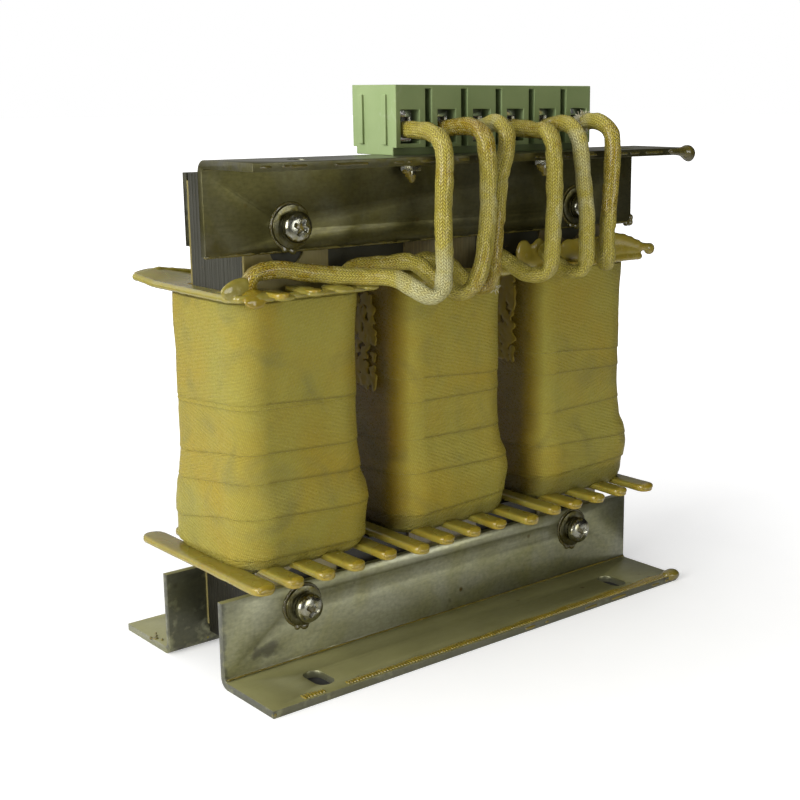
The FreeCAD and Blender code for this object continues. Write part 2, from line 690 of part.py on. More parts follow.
def rounded_pack(name, centre, half_x, half_y, radius, low, high):
    """Upright block with rounded corners."""
    body = doc.addObject("PartDesign::Body", name)
    section = rounded_section(body, name + "_section", centre, half_x, half_y, radius, low)
    pad = body.newObject("PartDesign::Pad", name + "_pad")
    pad.Profile = section
    pad.setExpression("Length", "(%s) - (%s)" % (high, low))
    body.Tip = pad
    return body


def coil_box(name, centre, half_x, half_y, low, high):
    """Upright block centred on a leg."""
    left_side = "(%s - %s)" % (centre, half_x)
    right_side = "(%s + %s)" % (centre, half_x)
    return box(name, left_side, right_side, "-" + half_y, half_y, low, high)


def exit_rods(name, centre, radius, low, high):
    """Upright rods where the start and the end of a winding leave the coil."""
    rods = []
    for side, sign in (("start", "-"), ("end", "+")):
        x = "(%s %s sizes.lead_exit_offset)" % (centre, sign)
        rods.append(upright_rod("%s_%s" % (name, side), radius, x, LEAD_EXIT_Y, low, high))
    return rods


# Leads: each winding's two ends, which run in braided sleeves over the top bracket to a terminal
BLOCK_BASE = TOTAL_HEIGHT
BLOCK_BOTTOM = "(%s + sizes.base_height)" % BLOCK_BASE
BLOCK_TOP = "(%s + sizes.block_height)" % BLOCK_BOTTOM
BLOCK_FRONT = "(-%s + sizes.block_front_setback)" % FLANGE_TIP
BLOCK_REAR = "(%s + sizes.block_depth)" % BLOCK_FRONT
ENTRY_BOTTOM = "(%s + sizes.entry_sill)" % BLOCK_BOTTOM
ENTRY_TOP = "(%s + sizes.entry_height)" % ENTRY_BOTTOM
CAGE_FRONT = "(%s + (sizes.block_depth - sizes.cage_length) / 2)" % BLOCK_FRONT
CAGE_REAR = "(%s + sizes.cage_length)" % CAGE_FRONT
WIRE_Z = "(%s + sizes.wire_height_in_entry)" % ENTRY_BOTTOM
HANG_Y = "(-%s - sizes.lead_hang_gap)" % FLANGE_TIP
pole_steps = ["-2.5", "-1.5", "-0.5", "0.5", "1.5", "2.5"]
pole_places = ["(sizes.block_offset + %s * sizes.pole_pitch)" % step for step in pole_steps]

# Hanging part of each lead: sideways from its terminal, outwards from the hanging plane,
# and up from the top of the bracket
hanging = [
    [(-0.4, 7.3, 6.2), (-1.4, 0.9, 4.6), (-1.5, -0.5, -1), (-2.4, -0.2, -14.6), (-1.4, -0.1, -31.8),
     (-4.6, 0.2, -35), (-8.1, 3.1, -32.6)],
    [(0.2, 7.1, 7.6), (0.2, 0.9, 6.2), (0.3, -0.6, 0), (0.9, -0.2, -13), (-0.8, -0.2, -25.6),
     (-3.4, -0.4, -31.8), (-6.8, 1.1, -35.1)],
    [(-1.6, 8.1, 8.4), (-3.3, 1.7, 6.4), (-3.8, 1.1, 1), (-6.1, 1.3, -5), (-7, 1.5, -15.5),
     (-8.4, 1.4, -26.3), (-8.4, 1.4, -32.4)],
    [(0.2, 7.3, 5.8), (-0.6, 1.1, 6), (-0.6, -0.6, 0.4), (0.2, -0.1, -12.8), (-0.7, -0.4, -24.3),
     (-1.2, -0.1, -31.6), (-4.8, 4.1, -32.6)],
    [(-1.4, 7.3, 8), (-2.3, 1, 5.4), (-2.3, -0.4, -0.2), (-1, 0, -7.5), (0.4, -0.1, -15),
     (0.4, -0.3, -27.5), (-0.2, 0.3, -32.3), (-2.6, 4.7, -32.7)],
    [(-1.4, 7.9, 8.6), (-1.5, 0.9, 6), (-2, -0.4, 0.6), (-2.8, -0.1, -11.6), (-3.5, 0.1, -24),
     (-3.1, 0.3, -29.4), (0.2, 3.8, -31.8)],
]
# Way back over the coil: sideways and forwards from the winding's exit, and up from the top plate
returning = [
    [(34, -14.2, 3.6), (26.8, -6.4, 3.1), (16, -2.8, 4.8), (5.8, -1, 6.6), (0, 0, 5)],
    [(16.6, -18.6, 1.4), (16, -10.4, 6.6), (9.8, -4.4, 5.2), (0, 0, 5)],
    [(7, -19.2, -1.9), (6.6, -12.5, 2.6), (5.5, -6.5, 5.4), (0, 0, 5)],
    [(-4, -13.6, 3.8), (-3.2, -6.9, 5.6), (0, 0, 5)],
    [(-11, -14, 3.8), (-6, -6.5, 4.8), (0, 0, 5)],
    [(-18, -13, 4.4), (-8, -3, 5.4), (0, 0, 5)],
]
BEND_SHARE = 0.48
END_SHARE = 0.95


def corner_share(run, runs):
    """Part of a straight run that one bend may take up; the first and last run hold only one bend."""
    return END_SHARE if run in (0, runs - 1) else BEND_SHARE


def lead_edges(index, centre, side):
    """Middle line of one sleeve: straight runs joined by arcs tangent to them."""
    pole = number(pole_places[index])
    exit_x = number("%s %s sizes.lead_exit_offset" % (centre, side))
    exit_y = number(LEAD_EXIT_Y)
    hang_y = number(HANG_Y)
    bracket_top = number(TOTAL_HEIGHT)
    plate_top = number(PLATE_TOP)
    wire_z = number(WIRE_Z)
    points = [Vector(pole, number(CAGE_FRONT) - number("sizes.cage_clearance"), wire_z)]
    points.append(Vector(pole, number(BLOCK_FRONT), wire_z))
    points += [Vector(pole + x, hang_y + y, bracket_top + z) for x, y, z in hanging[index]]
    points += [Vector(exit_x + x, exit_y + y, plate_top + z) for x, y, z in returning[index]]
    points.append(Vector(exit_x, exit_y, plate_top))
    runs = len(points) - 1
    lengths = [(points[at + 1] - points[at]).Length for at in range(runs)]
    edges = []
    radii = []
    last = points[0]
    for at in range(1, runs):
        before = (points[at - 1] - points[at]).normalize()
        after = (points[at + 1] - points[at]).normalize()
        half_turn = (math.pi - before.getAngle(after)) / 2
        room_before = corner_share(at - 1, runs) * lengths[at - 1]
        room_after = corner_share(at, runs) * lengths[at]
        setback = min(room_before, room_after)
        radius = setback / math.tan(half_turn)
        radii.append(round(radius, 1))
        enter = points[at] + before * setback
        leave = points[at] + after * setback
        inwards = (before + after).normalize()
        crown = points[at] + inwards * (radius / math.cos(half_turn) - radius)
        edges.append(Part.LineSegment(last, enter).toShape())
        edges.append(Part.Arc(enter, crown, leave).toShape())
        last = leave
    edges.append(Part.LineSegment(last, points[-1]).toShape())
    print("lead", index + 1, "radii", radii, "length", round(sum(edge.Length for edge in edges), 1))
    return edges


def tube_along(edges, radius):
    """Round bar along a middle line, checked against its section times its length."""
    start = edges[0].Vertexes[0].Point
    forward = edges[0].tangentAt(edges[0].FirstParameter)
    ring_wire = Part.Wire([Part.Circle(start, forward, radius).toShape()])
    tube = Part.Wire(edges).makePipeShell([ring_wire], True, False)
    expected = math.pi * radius ** 2 * sum(edge.Length for edge in edges)
    if abs(tube.Volume - expected) > 0.01 * expected:
        raise ValueError("a lead's tube does not have its full volume")
    return tube


def wire_edges(edges):
    """Middle line of the wire: the sleeve's, with a straight end in the clamp and one in the coil."""
    begin = edges[0].Vertexes[0].Point
    finish = edges[-1].Vertexes[-1].Point
    in_clamp = Vector(begin.x, begin.y + number("sizes.clamp_reach"), begin.z)
    in_coil = Vector(finish.x, finish.y, number(PACK_TOP) - number("sizes.wire_in_winding"))
    first = Part.LineSegment(in_clamp, begin).toShape()
    last = Part.LineSegment(finish, in_coil).toShape()
    return [first] + edges + [last]


def shaped(name, shape):
    """Sub-part whose shape follows a route in space."""
    feature = doc.addObject("Part::Feature", name)
    feature.Shape = shape
    return feature


for number_of_coil, (coil, centre) in enumerate(zip(coil_names, coil_centres)):
    tube = coil_box("former_tube_" + coil, centre, FORMER_OUT_X, FORMER_OUT_Y, COIL_BOTTOM, COIL_TOP)
    leg_space = coil_box("leg_space_" + coil, centre, FORMER_IN_X, FORMER_IN_Y, COIL_BOTTOM, COIL_TOP)
    publish(cut("former_%s_cut" % coil, tube, leg_space), "former_" + coil)

    pack = rounded_pack("pack_" + coil, centre, PACK_X, PACK_Y, PACK_CORNER, PACK_BOTTOM, PACK_TOP)
    core_of_pack = coil_box("pack_bore_" + coil, centre, FORMER_OUT_X, FORMER_OUT_Y, PACK_BOTTOM, PACK_TOP)
    ring_of_wire = cut("pack_ring_" + coil, pack, core_of_pack)
    wires = []
    for step, side in ((0, "-"), (1, "+")):
        index = 2 * number_of_coil + step
        middle_line = lead_edges(index, centre, side)
        wire = tube_along(wire_edges(middle_line), number(WIRE))
        wires.append(shaped("wire_%d" % (index + 1), wire))
        outside = tube_along(middle_line, number("sizes.sleeve_diameter / 2"))
        sleeve = outside.cut(tube_along(middle_line, number(WIRE_HOLE)))
        publish(shaped("lead_sleeve_solid_%d" % (index + 1), sleeve), "lead_sleeve_%d" % (index + 1))
    publish(joined("winding_%s_all" % coil, [ring_of_wire] + wires), "winding_" + coil)

    bore = coil_box("tape_bore_" + coil, centre, FORMER_OUT_X, FORMER_OUT_Y, COIL_BOTTOM, COIL_TOP)
    hollow = rounded_pack("tape_hollow_" + coil, centre, PACK_X, PACK_Y, PACK_CORNER, PACK_BOTTOM, PACK_TOP)
    exits = exit_rods("tape_exit_" + coil, centre, WIRE_HOLE, PACK_TOP, PLATE_TOP)
    tape_tools = joined("tape_tools_" + coil, [bore, hollow] + exits)
    publish(cut("tape_%s_cut" % coil, taped_outside(coil, centre), tape_tools), "tape_wrap_" + coil)

    plate_half = "(%s + sizes.plate_overhang)" % COIL_X
    plate_blank = box(
        "plate_blank_" + coil, "(%s - %s)" % (centre, plate_half), "(%s + %s)" % (centre, plate_half),
        "-sizes.plate_front_reach", "sizes.plate_rear_reach", COIL_TOP, PLATE_TOP
    )
    window_x = "(sizes.leg_width / 2 + sizes.plate_clearance)"
    window_y = "(%s + sizes.plate_clearance)" % STRIP_FACE
    window = coil_box("plate_window_" + coil, centre, window_x, window_y, COIL_TOP, PLATE_TOP)
    plate_exits = exit_rods("plate_exit_" + coil, centre, WIRE_HOLE, COIL_TOP, PLATE_TOP)
    plate_tools = joined("plate_tools_" + coil, [window] + plate_exits)
    publish(cut("plate_%s_cut" % coil, plate_blank, plate_tools), "top_plate_" + coil)

    top_bars = []
    bar_end = "-sizes.top_stick_reach"
    bar_width = "sizes.top_stick_width"
    for index in (-1, 0):
        x = "(%s + %d * %s)" % (centre, index, TOP_STICK_STEP)
        tag = "top_stick_%s_%d" % (coil, index + 2)
        level = "(%s + sizes.top_stick_thickness)" % PLATE_TOP
        near_web = "-(%s + sizes.former_clearance)" % STRIP_FACE
        top_bars.append(stick(tag, x, bar_width, bar_end, near_web, PLATE_TOP, level))
    publish(joined("top_sticks_%s_all" % coil, top_bars), "top_sticks_" + coil)


# Terminal block: one moulding with six poles, on a narrower base rail
HALF_BLOCK = "(2.5 * sizes.pole_pitch + sizes.entry_width / 2 + sizes.end_wall)"
BLOCK_LEFT = "(sizes.block_offset - %s)" % HALF_BLOCK
BLOCK_RIGHT = "(sizes.block_offset + %s)" % HALF_BLOCK
body_box = box("block_body", BLOCK_LEFT, BLOCK_RIGHT, BLOCK_FRONT, BLOCK_REAR, BLOCK_BOTTOM, BLOCK_TOP)
base_box = box(
    "block_base", BLOCK_LEFT, BLOCK_RIGHT, "(%s + sizes.base_setback)" % BLOCK_FRONT,
    "(%s - sizes.base_setback)" % BLOCK_REAR, BLOCK_BASE, BLOCK_BOTTOM
)
rib_low = "(%s + sizes.rib_height)" % BLOCK_BOTTOM
rib_high = "(%s - sizes.rib_margin)" % BLOCK_TOP
rib_left = "(%s - sizes.rib_height)" % BLOCK_LEFT
front_rib = box(
    "block_front_rib", rib_left, BLOCK_LEFT, "(%s + sizes.rib_inset)" % BLOCK_FRONT,
    "(%s + sizes.rib_inset + sizes.rib_width)" % BLOCK_FRONT, rib_low, rib_high
)
rear_rib = box(
    "block_rear_rib", rib_left, BLOCK_LEFT, "(%s - sizes.rib_inset - sizes.rib_width)" % BLOCK_REAR,
    "(%s - sizes.rib_inset)" % BLOCK_REAR, rib_low, rib_high
)
block_solid = joined("block_solid", [body_box, base_box, front_rib, rear_rib])

CAGE_BOTTOM = "(%s + sizes.cage_clearance)" % ENTRY_BOTTOM
CAGE_TOP = "(%s - sizes.cage_clearance)" % ENTRY_TOP
CAGE_HALF = "(sizes.entry_width / 2 - sizes.cage_clearance)"
CAGE_ROOF = "(%s - sizes.cage_roof)" % CAGE_TOP
CAGE_MIDDLE = "((%s + %s) / 2)" % (CAGE_FRONT, CAGE_REAR)
FRONT_CLAMP_Y = "(%s - sizes.clamp_screw_spread / 2)" % CAGE_MIDDLE
REAR_CLAMP_Y = "(%s + sizes.clamp_screw_spread / 2)" % CAGE_MIDDLE
CLAMP_THREAD = "(sizes.clamp_screw_diameter / 2)"
CLAMP_BORE = "(sizes.clamp_screw_diameter / 2 + sizes.thread_clearance)"
WIRE_TOP = "(%s + sizes.wire_diameter / 2)" % WIRE_Z

housing_tools = []
cages = []
clamp_screws = []
for index, pole in enumerate(pole_places):
    tag = "pole_%d" % (index + 1)
    entry_left = "(%s - sizes.entry_width / 2)" % pole
    entry_right = "(%s + sizes.entry_width / 2)" % pole
    housing_tools.append(
        box(tag + "_entry", entry_left, entry_right, BLOCK_FRONT, BLOCK_REAR, ENTRY_BOTTOM, ENTRY_TOP)
    )
    outside = box(
        tag + "_cage_outside", "(%s - %s)" % (pole, CAGE_HALF), "(%s + %s)" % (pole, CAGE_HALF),
        CAGE_FRONT, CAGE_REAR, CAGE_BOTTOM, CAGE_TOP
    )
    inner_half = "(%s - sizes.cage_wall)" % CAGE_HALF
    floor = "(%s + sizes.cage_wall)" % CAGE_BOTTOM
    cage_tools = [
        box(
            tag + "_cage_inside", "(%s - %s)" % (pole, inner_half), "(%s + %s)" % (pole, inner_half),
            CAGE_FRONT, CAGE_REAR, floor, CAGE_ROOF
        )
    ]
    for row, y, tip in (
        ("front", FRONT_CLAMP_Y, WIRE_TOP),
        ("rear", REAR_CLAMP_Y, "(%s + sizes.open_clamp_lift)" % WIRE_TOP),
    ):
        well = "sizes.screw_well_diameter / 2"
        housing_tools.append(upright_rod("%s_%s_well" % (tag, row), well, pole, y, ENTRY_TOP, BLOCK_TOP))
        cage_tools.append(upright_rod("%s_%s_thread" % (tag, row), CLAMP_BORE, pole, y, CAGE_ROOF, CAGE_TOP))
        neck = "(%s + sizes.clamp_neck)" % tip
        top = "(%s + sizes.clamp_head_height)" % neck
        stem = upright_rod("%s_%s_stem" % (tag, row), CLAMP_THREAD, pole, y, tip, neck)
        head = upright_rod("%s_%s_head" % (tag, row), "sizes.clamp_head_diameter / 2", pole, y, neck, top)
        clamp_screws.append(joined("%s_%s_screw" % (tag, row), [stem, head]))
    cages.append(cut(tag + "_cage", outside, joined(tag + "_cage_tools", cage_tools)))

for index in range(5):
    middle = "(sizes.block_offset + %d * sizes.pole_pitch)" % (index - 2)
    groove_left = "(%s - sizes.groove_width / 2)" % middle
    groove_right = "(%s + sizes.groove_width / 2)" % middle
    groove_top = "(%s - sizes.groove_lip)" % BLOCK_TOP
    front_floor = "(%s + sizes.groove_depth)" % BLOCK_FRONT
    rear_floor = "(%s - sizes.groove_depth)" % BLOCK_REAR
    tag = "block_groove_%d" % (index + 1)
    housing_tools.append(
        box(tag + "_front", groove_left, groove_right, BLOCK_FRONT, front_floor, BLOCK_BOTTOM, groove_top)
    )
    housing_tools.append(
        box(tag + "_rear", groove_left, groove_right, rear_floor, BLOCK_REAR, BLOCK_BOTTOM, groove_top)
    )

MOUNT_SEAT = "(%s + sizes.mount_well_floor)" % BLOCK_BASE
MOUNT_WELL = "(sizes.mount_head_diameter / 2 + sizes.bolt_hole_clearance / 2)"
housing_tools += mount_rods("block_mount_hole", MOUNT_HOLE, BLOCK_BASE, MOUNT_SEAT)
housing_tools += mount_rods("block_mount_well", MOUNT_WELL, MOUNT_SEAT, BLOCK_TOP)
publish(cut("terminal_housing_cut", block_solid, joined("housing_tools", housing_tools)), "terminal_housing")
publish(joined("clamp_cages_all", cages), "clamp_cages")
publish(joined("terminal_screws_all", clamp_screws), "terminal_screws")

# Fixings of the terminal block: two screws down through it, with nuts under the flange
SCREW_TIP = "(%s - sizes.mount_screw_length)" % MOUNT_SEAT
HEAD_TOP = "(%s + sizes.mount_head_height)" % MOUNT_SEAT
mount_threads = mount_rods("mount_thread", "sizes.mount_screw_diameter / 2", SCREW_TIP, MOUNT_SEAT)
mount_heads = mount_rods("mount_head", "sizes.mount_head_diameter / 2", MOUNT_SEAT, HEAD_TOP)
publish(joined("mount_screws_all", mount_threads + mount_heads), "block_screws")

NUT_UNDER = "(%s - sizes.mount_nut_height)" % UNDER_FLANGE
NUT_BORE = "(sizes.mount_screw_diameter / 2 + sizes.thread_clearance)"
upright = FreeCAD.Rotation(Vector(0, 0, 1), 0)
mount_nuts = []
for side, x in (("left", MOUNT_LEFT), ("right", MOUNT_RIGHT)):
    blank_name = "mount_nut_blank_" + side
    hexagon = hex_prism(blank_name, "sizes.mount_nut_flats", "sizes.mount_nut_height", upright)
    place(hexagon, x, MOUNT_Y, NUT_UNDER)
    bore = upright_rod("mount_nut_bore_" + side, NUT_BORE, x, MOUNT_Y, NUT_UNDER, UNDER_FLANGE)
    mount_nuts.append(cut("mount_nut_" + side, hexagon, bore))
publish(joined("mount_nuts_all", mount_nuts), "block_nuts")

doc.recompute()

for item in doc.Objects:
    if "Invalid" in item.State or "Error" in item.State:
        raise RuntimeError("%s is in state %s" % (item.Label, item.State))
for solid in published:
    if solid.Shape.isNull() or not solid.Shape.isValid():
        raise RuntimeError("%s has no valid shape" % solid.Label)
    solid.Shape.exportStep("parts/%s.step" % solid.Label)
    print(solid.Label, len(solid.Shape.Solids), "solids", round(solid.Shape.Volume, 1), "mm3")
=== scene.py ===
import math
import random
import bpy
import bmesh
from mathutils import Matrix, Vector, noise


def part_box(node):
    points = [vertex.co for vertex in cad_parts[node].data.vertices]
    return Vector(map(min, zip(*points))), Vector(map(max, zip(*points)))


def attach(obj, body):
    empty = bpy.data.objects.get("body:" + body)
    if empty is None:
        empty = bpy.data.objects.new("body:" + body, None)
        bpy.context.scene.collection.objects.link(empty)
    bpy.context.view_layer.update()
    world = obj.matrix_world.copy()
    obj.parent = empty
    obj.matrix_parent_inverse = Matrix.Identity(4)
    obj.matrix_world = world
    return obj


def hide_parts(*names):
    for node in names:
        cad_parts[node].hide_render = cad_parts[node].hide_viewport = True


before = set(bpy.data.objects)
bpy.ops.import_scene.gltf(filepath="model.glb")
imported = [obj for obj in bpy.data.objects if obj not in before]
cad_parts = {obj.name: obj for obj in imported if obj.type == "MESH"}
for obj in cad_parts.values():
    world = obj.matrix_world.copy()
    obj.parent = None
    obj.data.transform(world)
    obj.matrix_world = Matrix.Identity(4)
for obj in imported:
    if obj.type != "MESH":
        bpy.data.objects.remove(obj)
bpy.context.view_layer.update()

# Studio: the reactor stands on a plain pale floor, with a large soft light on its left, a weak one in
# front of it and one overhead. The camera looks at its left front corner from a little above.


def linked(name, data):
    """An object that holds the data, linked into the scene."""
    holder = bpy.data.objects.new(name, data)
    bpy.context.scene.collection.objects.link(holder)
    return holder


camera = linked("camera", bpy.data.cameras.new("camera"))
bpy.context.scene.camera = camera
camera.data.lens = 61.2
camera.data.sensor_width = 36.0
camera.data.shift_x = -0.1165
camera.data.clip_start = 0.01
camera.location = (-0.23745, -0.30408, 0.14848)
camera.rotation_euler = (math.radians(90.0 - 12.563), 0.0, math.radians(-41.442))
bpy.context.scene.view_settings.view_transform = "Standard"


def soft_light(name, place, target, size, power, colour):
    """A square lamp that shines from its place towards a target."""
    lamp = bpy.data.lights.new(name, "AREA")
    lamp.shape = "SQUARE"
    lamp.size, lamp.energy, lamp.color = size, power, colour
    holder = linked(name, lamp)
    holder.location = place
    holder.rotation_euler = (Vector(target) - Vector(place)).to_track_quat("-Z", "Y").to_euler()


soft_light("left_light", (-1.05, -0.12, 0.45), (0.0, 0.0, 0.07), 0.7, 10.5, (1.0, 1.0, 0.98))
soft_light("front_light", (0.10, -0.95, 0.16), (0.0, 0.0, 0.05), 0.45, 2.40, (1.0, 1.0, 0.97))
soft_light("top_light", (-0.15, 0.10, 1.20), (0.0, 0.0, 0.07), 0.7, 2.6, (1.0, 1.0, 1.0))


def connect(tree, node, inputs):
    """Gives a node its inputs: numbers as they are, other nodes and their sockets as links."""
    for name, value in inputs.items():
        if isinstance(value, bpy.types.Node):
            value = value.outputs[0]
        if isinstance(value, bpy.types.NodeSocket):
            tree.links.new(value, node.inputs[name])
        else:
            node.inputs[name].default_value = value


def add(tree, kind, inputs=None, **settings):
    """A new node with its settings and its inputs."""
    node = tree.nodes.new(kind)
    for name, value in settings.items():
        setattr(node, name, value)
    connect(tree, node, inputs or {})
    return node


def reckon(tree, operation, first, second=0.0):
    """One step of arithmetic."""
    return add(tree, "ShaderNodeMath", {0: first, 1: second}, operation=operation)


def spread(tree, value, low, high, start=0.0, end=1.0):
    """Maps a range of values onto another one, held at its ends."""
    return add(tree, "ShaderNodeMapRange",
               {"Value": value, "From Min": low, "From Max": high, "To Min": start, "To Max": end})


def noisy(tree, place, scale, detail, distortion=0.0, roughness=0.5):
    """Noise at a scale."""
    return add(tree, "ShaderNodeTexNoise", {"Vector": place, "Scale": scale, "Detail": detail,
                                            "Distortion": distortion, "Roughness": roughness})


def tint(tree, amount, first, second, mode="MIX"):
    """Colour between two colours, each of them three numbers or a socket."""
    first, second = [(*tone, 1.0) if isinstance(tone, (tuple, list)) else tone for tone in (first, second)]
    mix = add(tree, "ShaderNodeMix", {0: amount, 6: first, 7: second}, data_type="RGBA", blend_type=mode)
    return mix.outputs[2]


def part(tree, vector, axis):
    """One of a vector's three numbers."""
    return add(tree, "ShaderNodeSeparateXYZ", {0: vector}).outputs[axis]


WHITE = (1.0, 1.0, 1.0, 1.0)
sky = bpy.data.worlds.new("studio")
bpy.context.scene.world = sky
sky.use_nodes = True
tree = sky.node_tree
tree.nodes.clear()
towards = add(tree, "ShaderNodeTexCoord").outputs["Generated"]
side_on = add(tree, "ShaderNodeVectorMath", {0: towards, 1: (-0.75, 0.62, 0.25)}, operation="DOT_PRODUCT")
strength = spread(tree, side_on.outputs["Value"], -0.35, 0.75, 0.02, 0.75)
around = add(tree, "ShaderNodeBackground", {"Color": WHITE, "Strength": strength})
backdrop = add(tree, "ShaderNodeBackground", {"Color": WHITE, "Strength": 1.0})
in_view = add(tree, "ShaderNodeLightPath").outputs["Is Camera Ray"]
sky_mix = add(tree, "ShaderNodeMixShader", {0: in_view, 1: around, 2: backdrop})
add(tree, "ShaderNodeOutputWorld", {"Surface": sky_mix})

# The floor glows white away from the reactor, for the camera alone. Under the two feet it is painted near
# black, a painted shadow, and in reflections it is dark far off.
FLOOR_HALF = 9.0
FOOT_HALF_X = 0.072
FOOT_Y = 0.027
FOOT_HALF_Y = 0.010
floor_mesh = bpy.data.meshes.new("floor")
floor_mesh.from_pydata([(-FLOOR_HALF, -FLOOR_HALF, 0.0), (FLOOR_HALF, -FLOOR_HALF, 0.0),
                        (FLOOR_HALF, FLOOR_HALF, 0.0), (-FLOOR_HALF, FLOOR_HALF, 0.0)], [], [(0, 1, 2, 3)])
linked("floor", floor_mesh)
floor_finish = bpy.data.materials.new("pale_floor")
floor_finish.use_nodes = True
tree = floor_finish.node_tree
tree.nodes.clear()
spot = add(tree, "ShaderNodeTexCoord").outputs["Object"]
rays = add(tree, "ShaderNodeLightPath").outputs
away = add(tree, "ShaderNodeVectorMath", {0: spot}, operation="LENGTH").outputs["Value"]
beside = reckon(tree, "DIVIDE", reckon(tree, "ABSOLUTE", part(tree, spot, "X")), FOOT_HALF_X)
deep = reckon(tree, "SUBTRACT", reckon(tree, "ABSOLUTE", part(tree, spot, "Y")), FOOT_Y)
deep = reckon(tree, "DIVIDE", reckon(tree, "ABSOLUTE", deep), FOOT_HALF_Y)
open_floor = spread(tree, reckon(tree, "MAXIMUM", beside, deep), 0.97, 1.0)
pale = reckon(tree, "MULTIPLY", spread(tree, away, 0.12, 0.45, 0.42, 1.0), open_floor)
seen = reckon(tree, "MULTIPLY", pale, rays["Is Camera Ray"])
mirrored = reckon(tree, "MULTIPLY", spread(tree, away, 0.15, 0.5, 0.10, 0.0), rays["Is Glossy Ray"])
dim = reckon(tree, "MULTIPLY", spread(tree, away, 0.10, 0.42), rays["Is Glossy Ray"])
# Painted shadow: under the feet the floor's colour goes near black for every ray.
dim = reckon(tree, "MAXIMUM", dim, reckon(tree, "SUBTRACT", 1.0, open_floor))
tone = tint(tree, dim, spread(tree, noisy(tree, spot, 90.0, 2.0), 0.0, 1.0, 0.80, 0.84), (0.04, 0.04, 0.04))
floor_face = add(tree, "ShaderNodeBsdfPrincipled", {"Base Color": tone, "Roughness": 0.9})
glow = add(tree, "ShaderNodeEmission", {"Color": WHITE, "Strength": reckon(tree, "ADD", seen, mirrored)})
add(tree, "ShaderNodeOutputMaterial", {"Surface": add(tree, "ShaderNodeAddShader", {0: floor_face, 1: glow})})
floor_mesh.materials.append(floor_finish)

# Core: two stacks of punched electrical steel sheets, the upper one with three legs, the lower one a
# plain yoke. The sheets lie flat against each other front to back and were dipped in clear varnish.
SHEET_PITCH = 0.0005
SHEET_THICKNESS = 0.00045
SHEET_COUNT = 50
LIMB = 0.025
BOLT_X = 0.050
BOLT_HOLE = 0.0022
LOWER_BOLT_Z = 0.017
UPPER_BOLT_Z = 0.117


def as_mesh(holder):
    """The plain mesh that an object's curve, drops or modifiers come to."""
    return bpy.data.meshes.new_from_object(holder.evaluated_get(bpy.context.evaluated_depsgraph_get()))


def mesh_only(holder):
    """That mesh, once the object itself is gone."""
    mesh = as_mesh(holder)
    bpy.data.objects.remove(holder)
    return mesh


def settle(piece):
    """Turns a piece's modifiers into plain mesh."""
    mesh = as_mesh(piece)
    piece.modifiers.clear()
    piece.data = mesh


def fasten(piece, slot, *nodes, look=None):
    """The piece rides with the reactor, takes a finish when one is given and stands for its CAD nodes, which it
    hides. The slot is not used.
    """
    if look:
        piece.data.materials.clear()
        piece.data.materials.append(look)
    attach(piece, "root")
    if nodes:
        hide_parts(*nodes)


def lay_spline(curve, points, closed=False):
    """Adds a spline to a curve: a closed one with straight sides, or a smooth open one."""
    spline = curve.splines.new("POLY" if closed else "NURBS")
    spline.points.add(len(points) - 1)
    for point, spot in zip(spline.points, points):
        point.co = (*spot, 1.0)
    if closed:
        spline.use_cyclic_u = True
    else:
        spline.order_u = 3
        spline.use_endpoint_u = True


def punched(name, outline, holes):
    """A sheet that stands in the XZ plane, cut to an outline, with a round hole for each screw."""
    curve = bpy.data.curves.new(name, "CURVE")
    curve.dimensions = "2D"
    curve.fill_mode = "BOTH"
    curve.extrude = SHEET_THICKNESS / 2
    lay_spline(curve, [(x, z, 0.0) for x, z in outline], closed=True)
    turns = [math.radians(15.0 * step) for step in range(24)]
    for x, z in holes:
        lay_spline(curve, [(x + BOLT_HOLE * math.cos(turn), z + BOLT_HOLE * math.sin(turn), 0.0)
                           for turn in turns], closed=True)
    mesh = mesh_only(linked(name, curve))
    mesh.transform(Matrix.Rotation(math.radians(90.0), 4, "X"))
    return linked(name, mesh)


def rows_tree(name, settings, build):
    """A Geometry Nodes tree with a geometry input, the named inputs and a finish."""
    tree = bpy.data.node_groups.new(name, "GeometryNodeTree")
    tree.interface.new_socket("Geometry", in_out="INPUT", socket_type="NodeSocketGeometry")
    for label, kind in settings:
        tree.interface.new_socket(label, in_out="INPUT", socket_type=kind)
    tree.interface.new_socket("Finish", in_out="INPUT", socket_type="NodeSocketMaterial")
    tree.interface.new_socket("Geometry", in_out="OUTPUT", socket_type="NodeSocketGeometry")
    given = tree.nodes.new("NodeGroupInput").outputs
    made = build(tree, given)
    solid = add(tree, "GeometryNodeRealizeInstances", {0: made})
    finished = add(tree, "GeometryNodeSetMaterial", {"Geometry": solid, "Material": given["Finish"]})
    add(tree, "NodeGroupOutput", {0: finished})
    return tree


def repeat(piece, tree, values):
    """Runs a Geometry Nodes tree on a piece and keeps the result as plain mesh."""
    modifier = piece.modifiers.new("repeat", "NODES")
    modifier.node_group = tree
    for item in tree.interface.items_tree:
        if item.in_out == "INPUT" and item.name in values:
            modifier[item.identifier] = values[item.name]
    settle(piece)


def stack_sheets(tree, given):
    step = add(tree, "ShaderNodeCombineXYZ", {"Y": given["Pitch"]})
    places = add(tree, "GeometryNodeMeshLine", {"Count": given["Sheets"], "Offset": step})
    least = add(tree, "ShaderNodeVectorMath", {0: given["Waver"], 1: (-1.0, -1.0, -1.0)}, operation="MULTIPLY")
    waver = add(tree, "FunctionNodeRandomValue", {0: least, 1: given["Waver"], "Seed": given["Seed"]},
                data_type="FLOAT_VECTOR")
    shaken = add(tree, "GeometryNodeSetPosition", {"Geometry": places, "Offset": waver})
    return add(tree, "GeometryNodeInstanceOnPoints", {"Points": shaken, "Instance": given["Geometry"]})


stack_tree = rows_tree("stacked_sheets", [("Sheets", "NodeSocketInt"), ("Pitch", "NodeSocketFloat"),
                                          ("Waver", "NodeSocketVector"), ("Seed", "NodeSocketInt")],
                       stack_sheets)


